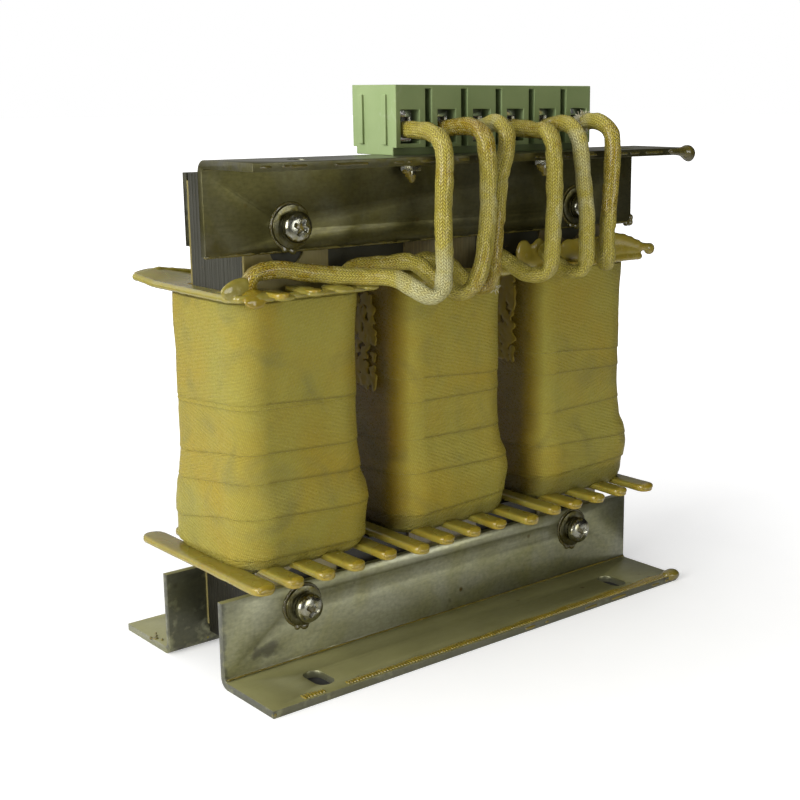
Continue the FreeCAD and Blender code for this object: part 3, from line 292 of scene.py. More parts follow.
def effect(name, values, results):
    """A shader node group on a Vector, with its named values and results, and its two ends."""
    group = bpy.data.node_groups.new(name, "ShaderNodeTree")
    group.interface.new_socket("Vector", in_out="INPUT", socket_type="NodeSocketVector")
    for label, value in values.items():
        group.interface.new_socket(label, in_out="INPUT", socket_type="NodeSocketFloat").default_value = value
    for label in results:
        group.interface.new_socket(label, in_out="OUTPUT", socket_type="NodeSocketFloat")
    return group, group.nodes.new("NodeGroupInput").outputs, group.nodes.new("NodeGroupOutput")


# The film that dipping leaves on everything: thicker and more amber in patches, with fine specks of
# dirt and small runs in it.
mottle, given, out = effect("varnish_mottle", {"Patch Size": 0.006, "Cover": 0.5}, ("Film", "Specks", "Height"))
place, size = given["Vector"], reckon(mottle, "DIVIDE", 1.0, given["Patch Size"])
film = spread(mottle, noisy(mottle, place, size, 4.0, 0.6, 0.55), 0.30, 0.70)
film = reckon(mottle, "SUBTRACT", film, reckon(mottle, "SUBTRACT", 1.0, given["Cover"]))
film = spread(mottle, film, -0.3, 0.45)
fine = noisy(mottle, place, reckon(mottle, "MULTIPLY", size, 6.0), 2.0)
grit = add(mottle, "ShaderNodeTexVoronoi", {"Vector": place, "Scale": reckon(mottle, "MULTIPLY", size, 3.2)})
specks = reckon(mottle, "MULTIPLY", spread(mottle, grit.outputs["Distance"], 0.16, 0.05),
                spread(mottle, noisy(mottle, place, size, 0.0), 0.56, 0.62))
height = reckon(mottle, "ADD", reckon(mottle, "MULTIPLY", film, 0.6), reckon(mottle, "MULTIPLY", fine, 0.35))
height = reckon(mottle, "ADD", height, reckon(mottle, "MULTIPLY", specks, 0.5))
connect(mottle, out, {"Film": film, "Specks": specks, "Height": height})


def varnish_on(tree, place, patch_size, cover):
    """The film's results on a material."""
    return add(tree, "ShaderNodeGroup", {"Vector": place, "Patch Size": patch_size, "Cover": cover},
               node_tree=mottle).outputs


def stretched(tree, place, scale, detail, roughness=0.5):
    """Noise drawn out along an axis: a scale for each."""
    along = add(tree, "ShaderNodeMapping", {"Vector": place, "Scale": scale})
    return noisy(tree, along, 1.0, detail, 0.0, roughness)


def finish(name):
    """A new material, its tree, its Principled shader and the object's own coordinates."""
    made = bpy.data.materials.new(name)
    made.use_nodes = True
    tree = made.node_tree
    shader = tree.nodes["Principled BSDF"]
    return made, tree, shader, add(tree, "ShaderNodeTexCoord").outputs["Object"]


def relief(tree, height, depth):
    """A height, in parts of a depth in metres, for a shader's normal."""
    return add(tree, "ShaderNodeBump", {"Height": height, "Distance": depth, "Strength": 1.0})


core_finish, tree, shader, place = finish("varnished_laminations")
streaks = stretched(tree, place, (25.0, 1900.0, 25.0), 2.0)
coated = varnish_on(tree, place, 0.005, 0.55)
steel = tint(tree, spread(tree, streaks, 0.35, 0.70), (0.032, 0.030, 0.019), (0.044, 0.041, 0.026))
steel = tint(tree, coated["Film"], steel, (0.62, 0.56, 0.36), "MULTIPLY")
level = part(tree, place, "Z")
steel = tint(tree, spread(tree, level, 0.03, 0.11, 0.0, 0.75), steel, (0.029, 0.0285, 0.0125))
# Painted shade: the lower sheets darken towards the bottom, near the floor.
steel = tint(tree, spread(tree, level, 0.05, 0.02, 0.0, 0.6), steel, (0.009, 0.0085, 0.006))
steel = tint(tree, coated["Specks"], steel, (0.16, 0.10, 0.02))
connect(tree, shader, {"Base Color": steel, "Roughness": spread(tree, streaks, 0.3, 0.7, 0.52, 0.34),
                       "Metallic": 0.2, "Coat Weight": 0.15, "Coat Roughness": 0.2,
                       "Normal": relief(tree, coated["Height"], 0.00006)})

core_low, core_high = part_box("upper_core")
yoke_low, yoke_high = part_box("lower_yoke")
left, right, foot, head = core_low[0], core_high[0], core_low[2], core_high[2]
shoulder = head - LIMB
legs = [(left, head), (left, foot), (left + LIMB, foot), (left + LIMB, shoulder), (-LIMB / 2, shoulder),
        (-LIMB / 2, foot), (LIMB / 2, foot), (LIMB / 2, shoulder), (right - LIMB, shoulder),
        (right - LIMB, foot), (right, foot), (right, head)]
yoke = [(left, yoke_low[2]), (right, yoke_low[2]), (right, yoke_high[2]), (left, yoke_high[2])]
for name, node, outline, bolt_z, seed in (("core_upper_sheets", "upper_core", legs, UPPER_BOLT_Z, 3),
                                          ("core_lower_sheets", "lower_yoke", yoke, LOWER_BOLT_Z, 8)):
    stack = punched(name, outline, [(-BOLT_X, bolt_z), (BOLT_X, bolt_z)])
    stack.data.transform(Matrix.Translation((0.0, core_low[1] + SHEET_PITCH / 2, 0.0)))
    repeat(stack, stack_tree, {"Sheets": SHEET_COUNT, "Pitch": SHEET_PITCH, "Waver": (0.00003, 0.0, 0.00004),
                               "Seed": seed, "Finish": core_finish})
    fasten(stack, "lamination", node)

# Gap shims and strips: board in the gaps between the legs and the lower yoke, and thin glass laminate
# strips between the core and the brackets, translucent brown and shiny with varnish.
board_finish, tree, shader, place = finish("gap_board")
fibres = noisy(tree, place, 1500.0, 3.0)
connect(tree, shader, {"Base Color": tint(tree, fibres, (0.20, 0.14, 0.05), (0.36, 0.27, 0.12)),
                       "Roughness": 0.5, "Normal": relief(tree, fibres, 0.00003)})

strip_finish, tree, shader, place = finish("varnished_strip")
coated = varnish_on(tree, place, 0.008, 0.55)
glass = spread(tree, stretched(tree, place, (2600.0, 2600.0, 120.0), 2.0), 0.35, 0.65)
tone = tint(tree, glass, (0.120, 0.102, 0.048), (0.185, 0.160, 0.085))
tone = tint(tree, coated["Film"], tone, (0.85, 0.72, 0.42), "MULTIPLY")
leftmost = spread(tree, part(tree, place, "X"), -0.030, -0.042, 0.0, 0.75)
tone = tint(tree, leftmost, tone, (0.270, 0.225, 0.070))
connect(tree, shader, {"Base Color": tone, "Roughness": 0.32, "Coat Weight": 0.8, "Coat Roughness": 0.08,
                       "Normal": relief(tree, coated["Height"], 0.00012)})


def dress(node, look):
    """Gives a CAD piece that keeps its shape its material."""
    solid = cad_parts[node]
    solid.data.materials.clear()
    solid.data.materials.append(look)


dress("gap_shims", board_finish)
for face in ("front", "rear"):
    for side in ("left", "middle", "right"):
        dress("strip_%s_%s" % (face, side), strip_finish)

# Brackets and rear bar: 2 mm galvanised sheet, folded with a tight bend and slotted. The lower ones
# show bright brushed metal with a few marks, the upper ones a thicker olive film of varnish. Some dark
# patches are painted shade, and the lower ones' upward faces carry painted light over varnish.


def merged(mesh, nearest=1e-7):
    """A form of a mesh in which points that lie together are one."""
    form = bmesh.new()
    form.from_mesh(mesh)
    bmesh.ops.remove_doubles(form, verts=form.verts, dist=nearest)
    return form


def smooth_piece(name, form):
    """A piece from a form, with all its faces smooth."""
    for face in form.faces:
        face.smooth = True
    mesh = bpy.data.meshes.new(name)
    form.to_mesh(mesh)
    form.free()
    return linked(name, mesh)


def softened(node, width, corner=35.0):
    """A copy of a CAD piece with slightly rounded edges, which stands for that piece."""
    form = merged(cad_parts[node].data, 1e-6)
    bmesh.ops.dissolve_limit(form, angle_limit=math.radians(0.6), verts=form.verts, edges=form.edges)
    piece = smooth_piece(node + "_made", form)
    bevel = piece.modifiers.new("edges", "BEVEL")
    bevel.limit_method = "ANGLE"
    bevel.angle_limit = math.radians(corner)
    bevel.width = width
    bevel.segments = 2
    bevel.use_clamp_overlap = False
    bevel.harden_normals = True
    settle(piece)
    return piece


def facing(tree, axis, low, high, end=1.0):
    """How much of the surface's facing along an axis lies between two values."""
    normal = add(tree, "ShaderNodeNewGeometry").outputs["Normal"]
    return spread(tree, part(tree, normal, axis), low, high, 0.0, end)


def bracket_steel(name, metal, olive, cover, gloss, marks, painted_shading=None):
    """Brushed galvanised sheet under varnish, darker in given patches (a smudge, painted shade, darker ends and
    edges), with a paler olive of painted light on upward faces if one is given.
    """
    made, tree, shader, place = finish(name)
    brushed = stretched(tree, place, (420.0, 1300.0, 1300.0), 3.0, 0.6)
    cloudy = noisy(tree, place, 55.0, 4.0, 0.0, 0.6)
    coated = varnish_on(tree, place, 0.019, cover)
    amber_speck = (0.10, 0.065, 0.012)
    tone = tint(tree, spread(tree, brushed, 0.3, 0.7), [value * 0.80 for value in metal], metal)
    tone = tint(tree, spread(tree, cloudy, 0.35, 0.7, 0.0, 0.7), tone, (0.74, 0.74, 0.70), "MULTIPLY")
    grainy = spread(tree, noisy(tree, place, 900.0, 3.0), 0.40, 0.7, 0.0, 0.5)
    tone = tint(tree, grainy, tone, (0.66, 0.66, 0.64), "MULTIPLY")
    tone = tint(tree, coated["Film"], tone, olive, "MULTIPLY")
    tone = tint(tree, coated["Specks"], tone, amber_speck)
    for (x, y, z), (wide, deep, high), shade in marks:
        there = add(tree, "ShaderNodeMapping", {"Vector": place, "Scale": (1 / wide, 1 / deep, 1 / high),
                                                "Location": (-x / wide, -y / deep, -z / high)})
        length = add(tree, "ShaderNodeVectorMath", {0: there}, operation="LENGTH").outputs["Value"]
        ragged = spread(tree, noisy(tree, place, 350.0, 3.0), 0.3, 0.7, -0.45, 0.45)
        tone = tint(tree, spread(tree, reckon(tree, "ADD", length, ragged), 1.0, 0.45, 0.0, 0.75), tone, shade)
    metallic = 0.85
    # Painted light: upward faces turn a paler, less metallic olive, over varnish that lies thicker there.
    if painted_shading:
        upward = facing(tree, "Z", 0.6, 0.95)
        cast = tint(tree, spread(tree, cloudy, 0.35, 0.7), painted_shading, [value * 0.8 for value in painted_shading])
        cast = tint(tree, coated["Specks"], cast, amber_speck)
        tone = tint(tree, reckon(tree, "MULTIPLY", upward, 0.85), tone, cast)
        metallic = spread(tree, upward, 0.0, 1.0, 0.85, 0.25)
    uneven = reckon(tree, "ADD", coated["Height"], reckon(tree, "MULTIPLY", brushed, 0.12))
    connect(tree, shader, {"Base Color": tone, "Roughness": spread(tree, brushed, 0.3, 0.7, 0.44, 0.36),
                           "Metallic": metallic, "Coat Weight": gloss, "Coat Roughness": 0.14,
                           "Normal": relief(tree, uneven, 0.00006)})
    return made


lower_steel = bracket_steel("lower_bracket_steel", (0.375, 0.375, 0.25), (0.88, 0.86, 0.55), 0.45, 0.45,
                            [((-0.062, -0.0153, 0.0074), (0.006, 0.004, 0.0022), (0.11, 0.105, 0.08)),
                             # Painted shadow on the rear bracket's web, behind the front bracket.
                             ((-0.0690, 0.0133, 0.0150), (0.0160, 0.0030, 0.0260), (0.045, 0.046, 0.032)),
                             ((-0.0743, -0.0270, 0.0120), (0.0014, 0.0300, 0.0300), (0.09, 0.092, 0.076)),
                             ((0.0, -0.0382, 0.0010), (0.2500, 0.0008, 0.0060), (0.085, 0.083, 0.055))],
                            (0.350, 0.335, 0.135))
upper_steel = bracket_steel("upper_bracket_steel", (0.212, 0.205, 0.125), (0.76, 0.72, 0.38), 0.7, 0.18,
                            [((-0.0745, -0.016, 0.112), (0.004, 0.004, 0.006), (0.16, 0.15, 0.09)),
                             # Painted shade on the rear bar's left end, behind the core.
                             ((-0.0700, 0.0140, 0.1170), (0.0140, 0.0070, 0.0300), (0.020, 0.021, 0.018)),
                             # Painted shade on the top flange's upper face, standing for its dark reflection.
                             ((-0.0350, -0.0270, 0.1345), (0.0600, 0.0140, 0.0030), (0.135, 0.132, 0.10))])
for node, look in (("bottom_front_bracket", lower_steel), ("bottom_rear_bracket", lower_steel),
                   ("top_front_bracket", upper_steel), ("top_rear_bar", upper_steel)):
    fasten(softened(node, 0.00012), "bracket_steel", node, look=look)

# Clamp screws: four M4 pan heads with a cross recess go through the brackets and the core, each with a
# flat washer, a spring washer and a nut behind. Varnish has filled the recesses and run round the washers.
HEAD_BACK = -0.0174
HEAD_RADIUS = 0.0040
HEAD_HEIGHT = 0.0031
SCREW_END = 0.0226
SCREW_RADIUS = 0.0020
THREAD_START = 0.0135
SCREW_PITCH = 0.0007


def skin(name, rings, uv=None, open_ends=False):
    """Closed mesh through rings of points, with a UV for each step if one is given."""
    form = bmesh.new()
    count, last = len(rings[0]), len(rings) - 1
    rows = [[form.verts.new(point) for point in ring] for ring in rings]
    layer = form.loops.layers.uv.new("surface") if uv else None

    def lay(corners, steps):
        face = form.faces.new(corners)
        for loop, step in zip(face.loops, steps if uv else ()):
            loop[layer].uv = uv(*step)

    for i in range(last):
        for j in range(count):
            k = (j + 1) % count
            lay((rows[i][j], rows[i][k], rows[i + 1][k], rows[i + 1][j]),
                ((i, i, j), (i, i, j + 1), (i, i + 1, j + 1), (i, i + 1, j)))
    for end in (() if open_ends else (0, last)):
        middle = form.verts.new(sum((vert.co for vert in rows[end]), Vector()) / count)
        for j in range(count):
            pair = (rows[end][j], rows[end][(j + 1) % count])
            lay((middle, *(pair if end else pair[::-1])), [(end, end, j)] * 3)
    bmesh.ops.recalc_face_normals(form, faces=form.faces)
    return smooth_piece(name, form)


def turned(name, profile, axis, centre, steps=48, thread=None):
    """A turned piece: (radius, place along the axis) pairs, on an axis along Y or Z."""
    rings = []
    for radius, along in profile:
        ring = []
        for step in range(steps):
            turn = 2 * math.pi * step / steps
            reach = radius + (thread(along, turn) if thread else 0.0)
            a, b = reach * math.cos(turn), reach * math.sin(turn)
            spot = (a, along, b) if axis == "Y" else (a, b, along)
            ring.append(Vector(centre) + Vector(spot))
        rings.append(ring)
    return skin(name, rings)


def cut_with(piece, cutter):
    """Cuts one piece out of another."""
    modifier = piece.modifiers.new("cut", "BOOLEAN")
    modifier.object = cutter
    modifier.solver = "EXACT"
    settle(piece)
    bpy.data.objects.remove(cutter)


def tapered_bar(name, centre, along, across, axis, start, end):
    """Cutter for a recess: a bar that narrows from start to end along an axis."""
    rings = []
    for level, share in ((start, 1.0), (end, 0.42)):
        half_a, half_b = along / 2 * share, across / 2 * (0.55 + 0.45 * share)
        ring = []
        for a, b in ((-half_a, -half_b), (half_a, -half_b), (half_a, half_b), (-half_a, half_b)):
            ring.append(Vector(centre) + Vector((a, level, b) if axis == "Y" else (a, b, level)))
        rings.append(ring)
    return skin(name, rings)


def join(name, pieces):
    """One piece from several."""
    form = bmesh.new()
    for piece in pieces:
        form.from_mesh(piece.data)
        bpy.data.objects.remove(piece)
    return smooth_piece(name, form)


def row_of_rows(tree, given):
    across = add(tree, "GeometryNodeMeshLine", {"Count": given["Columns"], "Offset": given["Column Step"]})
    up = add(tree, "GeometryNodeMeshLine", {"Count": given["Rows"], "Offset": given["Row Step"]})
    grid = add(tree, "GeometryNodeInstanceOnPoints", {"Points": across, "Instance": up})
    places = add(tree, "GeometryNodeRealizeInstances", {0: grid})
    return add(tree, "GeometryNodeInstanceOnPoints", {"Points": places, "Instance": given["Geometry"]})


rows = rows_tree("rows_of_like_pieces", [("Columns", "NodeSocketInt"), ("Column Step", "NodeSocketVector"),
                                         ("Rows", "NodeSocketInt"), ("Row Step", "NodeSocketVector")],
                 row_of_rows)
FOUR_CORNERS = {"Columns": 2, "Column Step": (0.100, 0.0, 0.0), "Rows": 2, "Row Step": (0.0, 0.0, 0.100)}


def bright_metal(name, colour, roughness, cover, amber):
    """Plated small parts, with varnish in patches."""
    made, tree, shader, place = finish(name)
    coated = varnish_on(tree, place, 0.0022, cover)
    scratches = noisy(tree, place, 2500.0, 3.0)
    tone = tint(tree, spread(tree, scratches, 0.35, 0.7), colour, [value * 0.75 for value in colour])
    tone = tint(tree, coated["Film"], tone, amber, "MULTIPLY")
    connect(tree, shader, {"Base Color": tone, "Metallic": 1.0, "Coat Weight": 0.3,
                           "Roughness": spread(tree, scratches, 0.3, 0.7, roughness, roughness + 0.12),
                           "Normal": relief(tree, coated["Height"], 0.00005)})
    return made


screw_finish = bright_metal("bright_zinc", (0.42, 0.42, 0.35), 0.16, 0.42, (0.70, 0.62, 0.30))
washer_finish = bright_metal("varnished_zinc", (0.21, 0.205, 0.135), 0.30, 0.75, (0.62, 0.56, 0.26))


def thread(along, turn):
    """Depth of an M4 thread on the end of the screw."""
    if along < THREAD_START:
        return 0.0
    phase = (along / SCREW_PITCH - turn / (2 * math.pi)) % 1.0
    return -0.00038 * (1.0 - abs(2.0 * phase - 1.0))


rim = 0.0010
head = [(0.0001, HEAD_BACK - HEAD_HEIGHT)]
for step in range(1, 13):
    turn = math.radians(7.5 * step)
    head.append((HEAD_RADIUS * math.sin(turn) ** 0.8,
                 HEAD_BACK - rim - (HEAD_HEIGHT - rim) * math.cos(turn) ** 0.75))
head += [(HEAD_RADIUS, HEAD_BACK - 0.0005), (HEAD_RADIUS - 0.0002, HEAD_BACK - 0.0001),
         (HEAD_RADIUS - 0.0005, HEAD_BACK), (SCREW_RADIUS, HEAD_BACK), (SCREW_RADIUS, 0.0130)]
head += [(SCREW_RADIUS, THREAD_START + 0.0001 * step) for step in range(86)]
head += [(0.0019, SCREW_END - 0.0002), (0.0015, SCREW_END)]
first_screw = (-BOLT_X, 0.0, LOWER_BOLT_Z)
screw = turned("clamp_screws_made", head, "Y", first_screw, 40, thread)
for wide, tall in ((0.0048, 0.0012), (0.0012, 0.0048)):
    recess = tapered_bar("recess", first_screw, wide, tall, "Y", HEAD_BACK - HEAD_HEIGHT - 0.0004,
                         HEAD_BACK - 0.0014)
    recess.data.transform(Matrix.Translation((BOLT_X, 0.0, -LOWER_BOLT_Z)))
    recess.data.transform(Matrix.Rotation(math.radians(24.0), 4, "Y"))
    recess.data.transform(Matrix.Translation(first_screw))
    cut_with(screw, recess)
repeat(screw, rows, {**FOUR_CORNERS, "Finish": screw_finish})
fasten(screw, "screw_steel", "clamp_screws")

coil_turn = []
for step in range(41):
    turn = math.radians(-8.0 + 344.0 * step / 40)
    lift = 0.0005 * (step / 40 - 0.5)
    coil_turn.append([Vector((-BOLT_X + (0.0030 + a) * math.cos(turn), -0.01685 + lift + b,
                              LOWER_BOLT_Z + (0.0030 + a) * math.sin(turn)))
                      for a, b in ((-0.0008, -0.0004), (0.0008, -0.0004), (0.0008, 0.0004), (-0.0008, 0.0004))])
spring_washer = skin("spring_washers_made", coil_turn)
for face in spring_washer.data.polygons:
    face.use_smooth = False
repeat(spring_washer, rows, {**FOUR_CORNERS, "Finish": screw_finish})
fasten(spring_washer, "washer_steel", "spring_washers")

for node, slot, look in (("front_washers", "washer_steel", washer_finish),
                         ("rear_washers", "washer_steel", washer_finish),
                         ("clamp_nuts", "screw_steel", screw_finish)):
    fasten(softened(node, 0.00015), slot, node, look=look)

# Formers and windings: a moulded tube on each leg and the enamelled wire wound on it, turn beside turn.
# Both sit inside the tape, and the winding is rounded behind as the tape is. Its two ends run on inside
# the sleeves to the terminals.
COILS = (("left", -0.050), ("middle", 0.0), ("right", 0.050))
WINDING_CORNER = 0.0098
CORNER_X = 0.0084
CORNER_Y = 0.0094
former_finish, tree, shader, place = finish("moulded_former")
flow = noisy(tree, place, 300.0, 3.0)
connect(tree, shader, {"Base Color": tint(tree, flow, (0.20, 0.13, 0.05), (0.30, 0.21, 0.09)),
                       "Roughness": 0.4, "Normal": relief(tree, flow, 0.00004)})

copper_finish, tree, shader, place = finish("enamelled_wire")
turns = add(tree, "ShaderNodeTexWave", {"Vector": place, "Scale": 110.0, "Distortion": 0.3, "Detail": 1.0},
            wave_type="BANDS", bands_direction="Z")
# Painted shading: each turn is bright across its middle and dark where it meets the next.
connect(tree, shader, {"Base Color": tint(tree, turns, (0.22, 0.07, 0.02), (0.72, 0.34, 0.14)),
                       "Metallic": 0.9, "Roughness": 0.25, "Normal": relief(tree, turns, 0.0003)})
for side, centre in COILS:
    dress("former_" + side, former_finish)
    winding = softened("winding_" + side, 0.0001)
    for vert in winding.data.vertices:
        over_x, over_y = abs(vert.co.x - centre) - CORNER_X, vert.co.y - CORNER_Y
        beyond = math.hypot(over_x, over_y) / WINDING_CORNER
        if over_x > 0.0 and over_y > 0.0 and beyond > 1.0:
            vert.co.x = centre + math.copysign(CORNER_X + over_x / beyond, vert.co.x - centre)
            vert.co.y = CORNER_Y + over_y / beyond
    fasten(winding, "copper", "winding_" + side, look=copper_finish)

# Tape wraps: woven glass tape wound round each coil in overlapping turns and soaked in varnish. Each
# turn's lower edge stands proud of the one below, and the coil bulges near the bottom, where it was tied.
# Their left faces are painted darker, a painted shade, most on the middle and right coils.
COIL_BOTTOM = 0.0317
SKIRT_LOW = 0.0300
SKIRT_ROUND = 0.0032
COIL_TOP = 0.1002
COIL_HALF_X = 0.0195
COIL_HALF_Y = 0.0205
COIL_CORNER = 0.0080
REAR_CORNER = 1.5
TAPE_WALL = 0.0012
TAPE_STEP = 0.00024
WEAVE_PITCH = 0.00044
BORE = (0.0140, 0.0148, 0.0010)
INSIDE = (0.0183, 0.0193, 0.0068)
SWELL = [(0.0300, 0.0002), (0.0350, 0.0010), (0.0433, 0.0014), (0.0475, 0.0011), (0.0520, 0.0001),
         (0.0600, -0.0005), (0.0800, -0.0005), (0.0978, -0.0003), (0.1002, -0.0002)]

woven, given, out = effect("woven_threads", {}, ("Height", "Rib", "Loose"))
waves = [reckon(woven, "SINE", reckon(woven, "MULTIPLY", part(woven, given["Vector"], axis), math.pi))
         for axis in ("X", "Y")]
bumps = reckon(woven, "ABSOLUTE", reckon(woven, "MULTIPLY", waves[0], waves[1]))
pulled = reckon(woven, "MULTIPLY", noisy(woven, given["Vector"], 0.11, 3.0), 7.0)
rib = reckon(woven, "ADD", reckon(woven, "MULTIPLY", part(woven, given["Vector"], "Y"), 2.1), pulled)
cell = add(woven, "ShaderNodeVectorMath", {0: given["Vector"]}, operation="FLOOR")
loose = add(woven, "ShaderNodeTexWhiteNoise", {"Vector": cell}, noise_dimensions="3D")
connect(woven, out, {"Height": reckon(woven, "POWER", bumps, 0.6),
                     "Rib": spread(woven, reckon(woven, "SINE", rib), -1.0, 1.0), "Loose": loose})


def by_surface(tree, group):
    """A group's results on the piece's own UV map."""
    return add(tree, "ShaderNodeGroup", {"Vector": add(tree, "ShaderNodeUVMap", uv_map="surface")},
               node_tree=group).outputs


def marked(tree, name):
    """A value that the piece's points carry."""
    return add(tree, "ShaderNodeAttribute", attribute_name=name).outputs["Fac"]


def tape_look(name, green, painted_shading):
    """Pale yellow woven tape with amber and grey-green patches, painted darker on its left faces as painted
    shade.
    """
    made, tree, shader, place = finish(name)
    weave = by_surface(tree, woven)
    patchy = spread(tree, noisy(tree, place, 48.0, 3.0, 0.5), 0.36, 0.68)
    grey = spread(tree, noisy(tree, place, 75.0, 2.0, 1.0), 0.52, 0.76, 0.0, 0.55)
    tone = tint(tree, grey, tint(tree, patchy, (0.470, 0.418, 0.078), (0.500, 0.385, 0.046)), green)
    thready = reckon(tree, "MULTIPLY", weave["Height"], spread(tree, weave["Loose"], 0.0, 1.0, 0.6, 1.0))
    # Painted shade in the hollows between the threads.
    tone = tint(tree, spread(tree, thready, 0.0, 0.8, 0.75, 0.0), tone, (0.55, 0.50, 0.25), "MULTIPLY")
    tone = tint(tree, reckon(tree, "MULTIPLY", weave["Rib"], 0.22), tone, (0.70, 0.68, 0.52), "MULTIPLY")
    tone = tint(tree, spread(tree, weave["Loose"], 0.80, 1.0, 0.0, 0.22), tone, (0.60, 0.54, 0.17))
    tone = tint(tree, marked(tree, "grime"), tone, (0.17, 0.155, 0.035))
    # Painted shade: faces turned to the left are darker.
    tone = tint(tree, facing(tree, "X", -0.55, -0.92, painted_shading), tone, (0.56, 0.46, 0.20), "MULTIPLY")
    # Painted shadow: a dark line under each turn's proud edge.
    tone = tint(tree, reckon(tree, "MULTIPLY", marked(tree, "seam_shadow"), 0.60), tone, (0.155, 0.125, 0.022))
    ribbed = reckon(tree, "ADD", thready, reckon(tree, "MULTIPLY", weave["Rib"], 0.60))
    connect(tree, shader, {"Base Color": tone, "Roughness": spread(tree, weave["Loose"], 0.0, 1.0, 0.52, 0.24),
                           "Specular IOR Level": 0.32, "Normal": relief(tree, ribbed, 0.00018)})
    return made


def smooth_between(levels, value):
    """Value of a curve given as (place, value) pairs, eased from one to the next."""
    for (a, low), (b, high) in zip(levels, levels[1:]):
        if value <= b:
            share = min(max((value - a) / (b - a), 0.0), 1.0)
            share = share * share * (3.0 - 2.0 * share)
            return low + (high - low) * share
    return levels[-1][1]


def tape_wrap(side, centre, edges, green, grime, painted_shading, seed):
    """One coil's tape. Each edge gives a turn's lower edge at the four corners, from the front left on."""
    sides, corners = 34, 9
    places = []
    for index in range(4):
        places += [(index, step / sides, None) for step in range(sides)]
        places += [(index, None, step / corners) for step in range(corners)]
    count = len(places)

    def spot(place, half_x, half_y, radius):
        index, along, round_corner = place
        turn = math.radians(90.0 * index)
        reach, width = (half_y, half_x) if index % 2 == 0 else (half_x, half_y)
        start, end = [radius * (REAR_CORNER if corner in (1, 2) else 1.0)
                      for corner in ((index + 3) % 4, index)]
        if round_corner is None:
            x, y = -(width - start) + (2 * width - start - end) * along, -reach
            out = (0.0, -1.0)
        else:
            angle = math.radians(-90.0 + 90.0 * round_corner)
            out = (math.cos(angle), math.sin(angle))
            x, y = width - end + end * out[0], -(reach - end) + end * out[1]
        cos, sin = math.cos(turn), math.sin(turn)
        out = (out[0] * cos - out[1] * sin, out[0] * sin + out[1] * cos)
        return (x * cos - y * sin, x * sin + y * cos), out

    def level(edge, j):
        index, along, round_corner = places[j % count]
        if round_corner is not None:
            return edge[(index + 1) % 4]
        return edge[index] + (edge[(index + 1) % 4] - edge[index]) * along

    def flat_ring(half_x, half_y, radius, z):
        spots = [spot(place, half_x, half_y, radius)[0] for place in places]
        return [Vector((centre + x, y, z)) for x, y in spots]

    shift = Vector((seed * 3.7, seed * 1.3, 0.0))

    def proudness(flat, out, z):
        """How far the soft tape stands out: swells, waves, the hem's wobble and the pulled front corner."""
        proud = smooth_between(SWELL, z)
        where = Vector((flat[0] * 55 + shift.x, flat[1] * 55 + shift.y, z * 55))
        proud += 0.00030 * noise.noise(where) + 0.00012 * noise.noise(where * 3.1)
        proud += 0.00006 * noise.noise(Vector((flat[0] * 260 + flat[1] * 260, seed, z * 900)))
        hem = math.exp(-((z - SKIRT_LOW - 0.0030) / 0.0008) ** 2)
        proud += 0.00022 * hem * noise.noise(Vector((flat[0] * 420 + shift.x, flat[1] * 420, 5.0)))
        corner_out = max(0.0, out[0] * 0.7071 - out[1] * 0.7071 - 0.6) / 0.4
        proud += 0.0009 * corner_out * math.exp(-((z - 0.0445) / 0.0055) ** 2)
        proud += 0.0005 * corner_out * math.exp(-((z - 0.0990) / 0.0050) ** 2)
        lack = max(0.0, (SKIRT_LOW + SKIRT_ROUND - z) / SKIRT_ROUND)
        return proud - SKIRT_ROUND * (1.0 - math.sqrt(max(0.0, 1.0 - lack * lack)))

    heights = [[SKIRT_LOW + SKIRT_ROUND * 0.40] * 4] + edges + [[COIL_TOP - 0.0010] * 4]
    rings, marks, skews = [], [], []
    randomly = random.Random(seed)
    for band in range(len(heights) - 1):
        height = sum(heights[band + 1]) / 4 - sum(heights[band]) / 4
        steps = max(6, int(height / 0.00085))
        slant = math.radians(randomly.uniform(8.0, 26.0) * (1.0 if band in (0, 3, 6) else -1.0))
        fractions = [0.0, 0.12 / steps] + [step / steps for step in range(1, steps)] + [1.0 - 0.16 / steps]
        for number, share in enumerate(fractions):
            at_edge, under_edge = band > 0 and number == 0, share > 0.99
            lap = -0.00006 if under_edge else 0.0
            if band > 0:
                lap += TAPE_STEP * ((1.9 if band == 1 else 1.0) * (1.0 - share) ** 1.4 - 0.35 * at_edge)
            ring = []
            for j in range(count):
                low, high = level(heights[band], j), level(heights[band + 1], j)
                z = low + (high - low) * share
                flat, out = spot(places[j], COIL_HALF_X, COIL_HALF_Y, COIL_CORNER)
                proud = proudness(flat, out, z) + lap
                ring.append(Vector((centre + flat[0] + out[0] * proud, flat[1] + out[1] * proud, z)))
            rings.append(ring)
            marks.append(1.0 if at_edge or (under_edge and band < len(heights) - 2) else 0.0)
            skews.append((slant, band))

    bottom = [flat_ring(*row) for row in (
        (*BORE, COIL_BOTTOM + TAPE_WALL), (*BORE, COIL_BOTTOM), (0.0166, 0.0176, 0.0040, COIL_BOTTOM),
        (0.0178, 0.0188, 0.0066, SKIRT_LOW))]
    top = [flat_ring(*row) for row in (
        (0.0193, 0.0203, 0.0078, COIL_TOP - 0.0003), (0.0185, 0.0195, 0.0070, COIL_TOP), (*BORE, COIL_TOP),
        (*BORE, COIL_TOP - TAPE_WALL), (*INSIDE, COIL_TOP - TAPE_WALL), (*INSIDE, COIL_BOTTOM + TAPE_WALL),
        (*BORE, COIL_BOTTOM + TAPE_WALL))]
    every = bottom + rings + top
    marks = [0.0] * len(bottom) + marks + [0.0] * len(top)
    skews = [(0.0, 9)] * len(bottom) + skews + [(0.0, 9)] * len(top)
    girth = [0.0]
    for j in range(count):
        girth.append(girth[-1] + (rings[0][(j + 1) % count] - rings[0][j]).length)

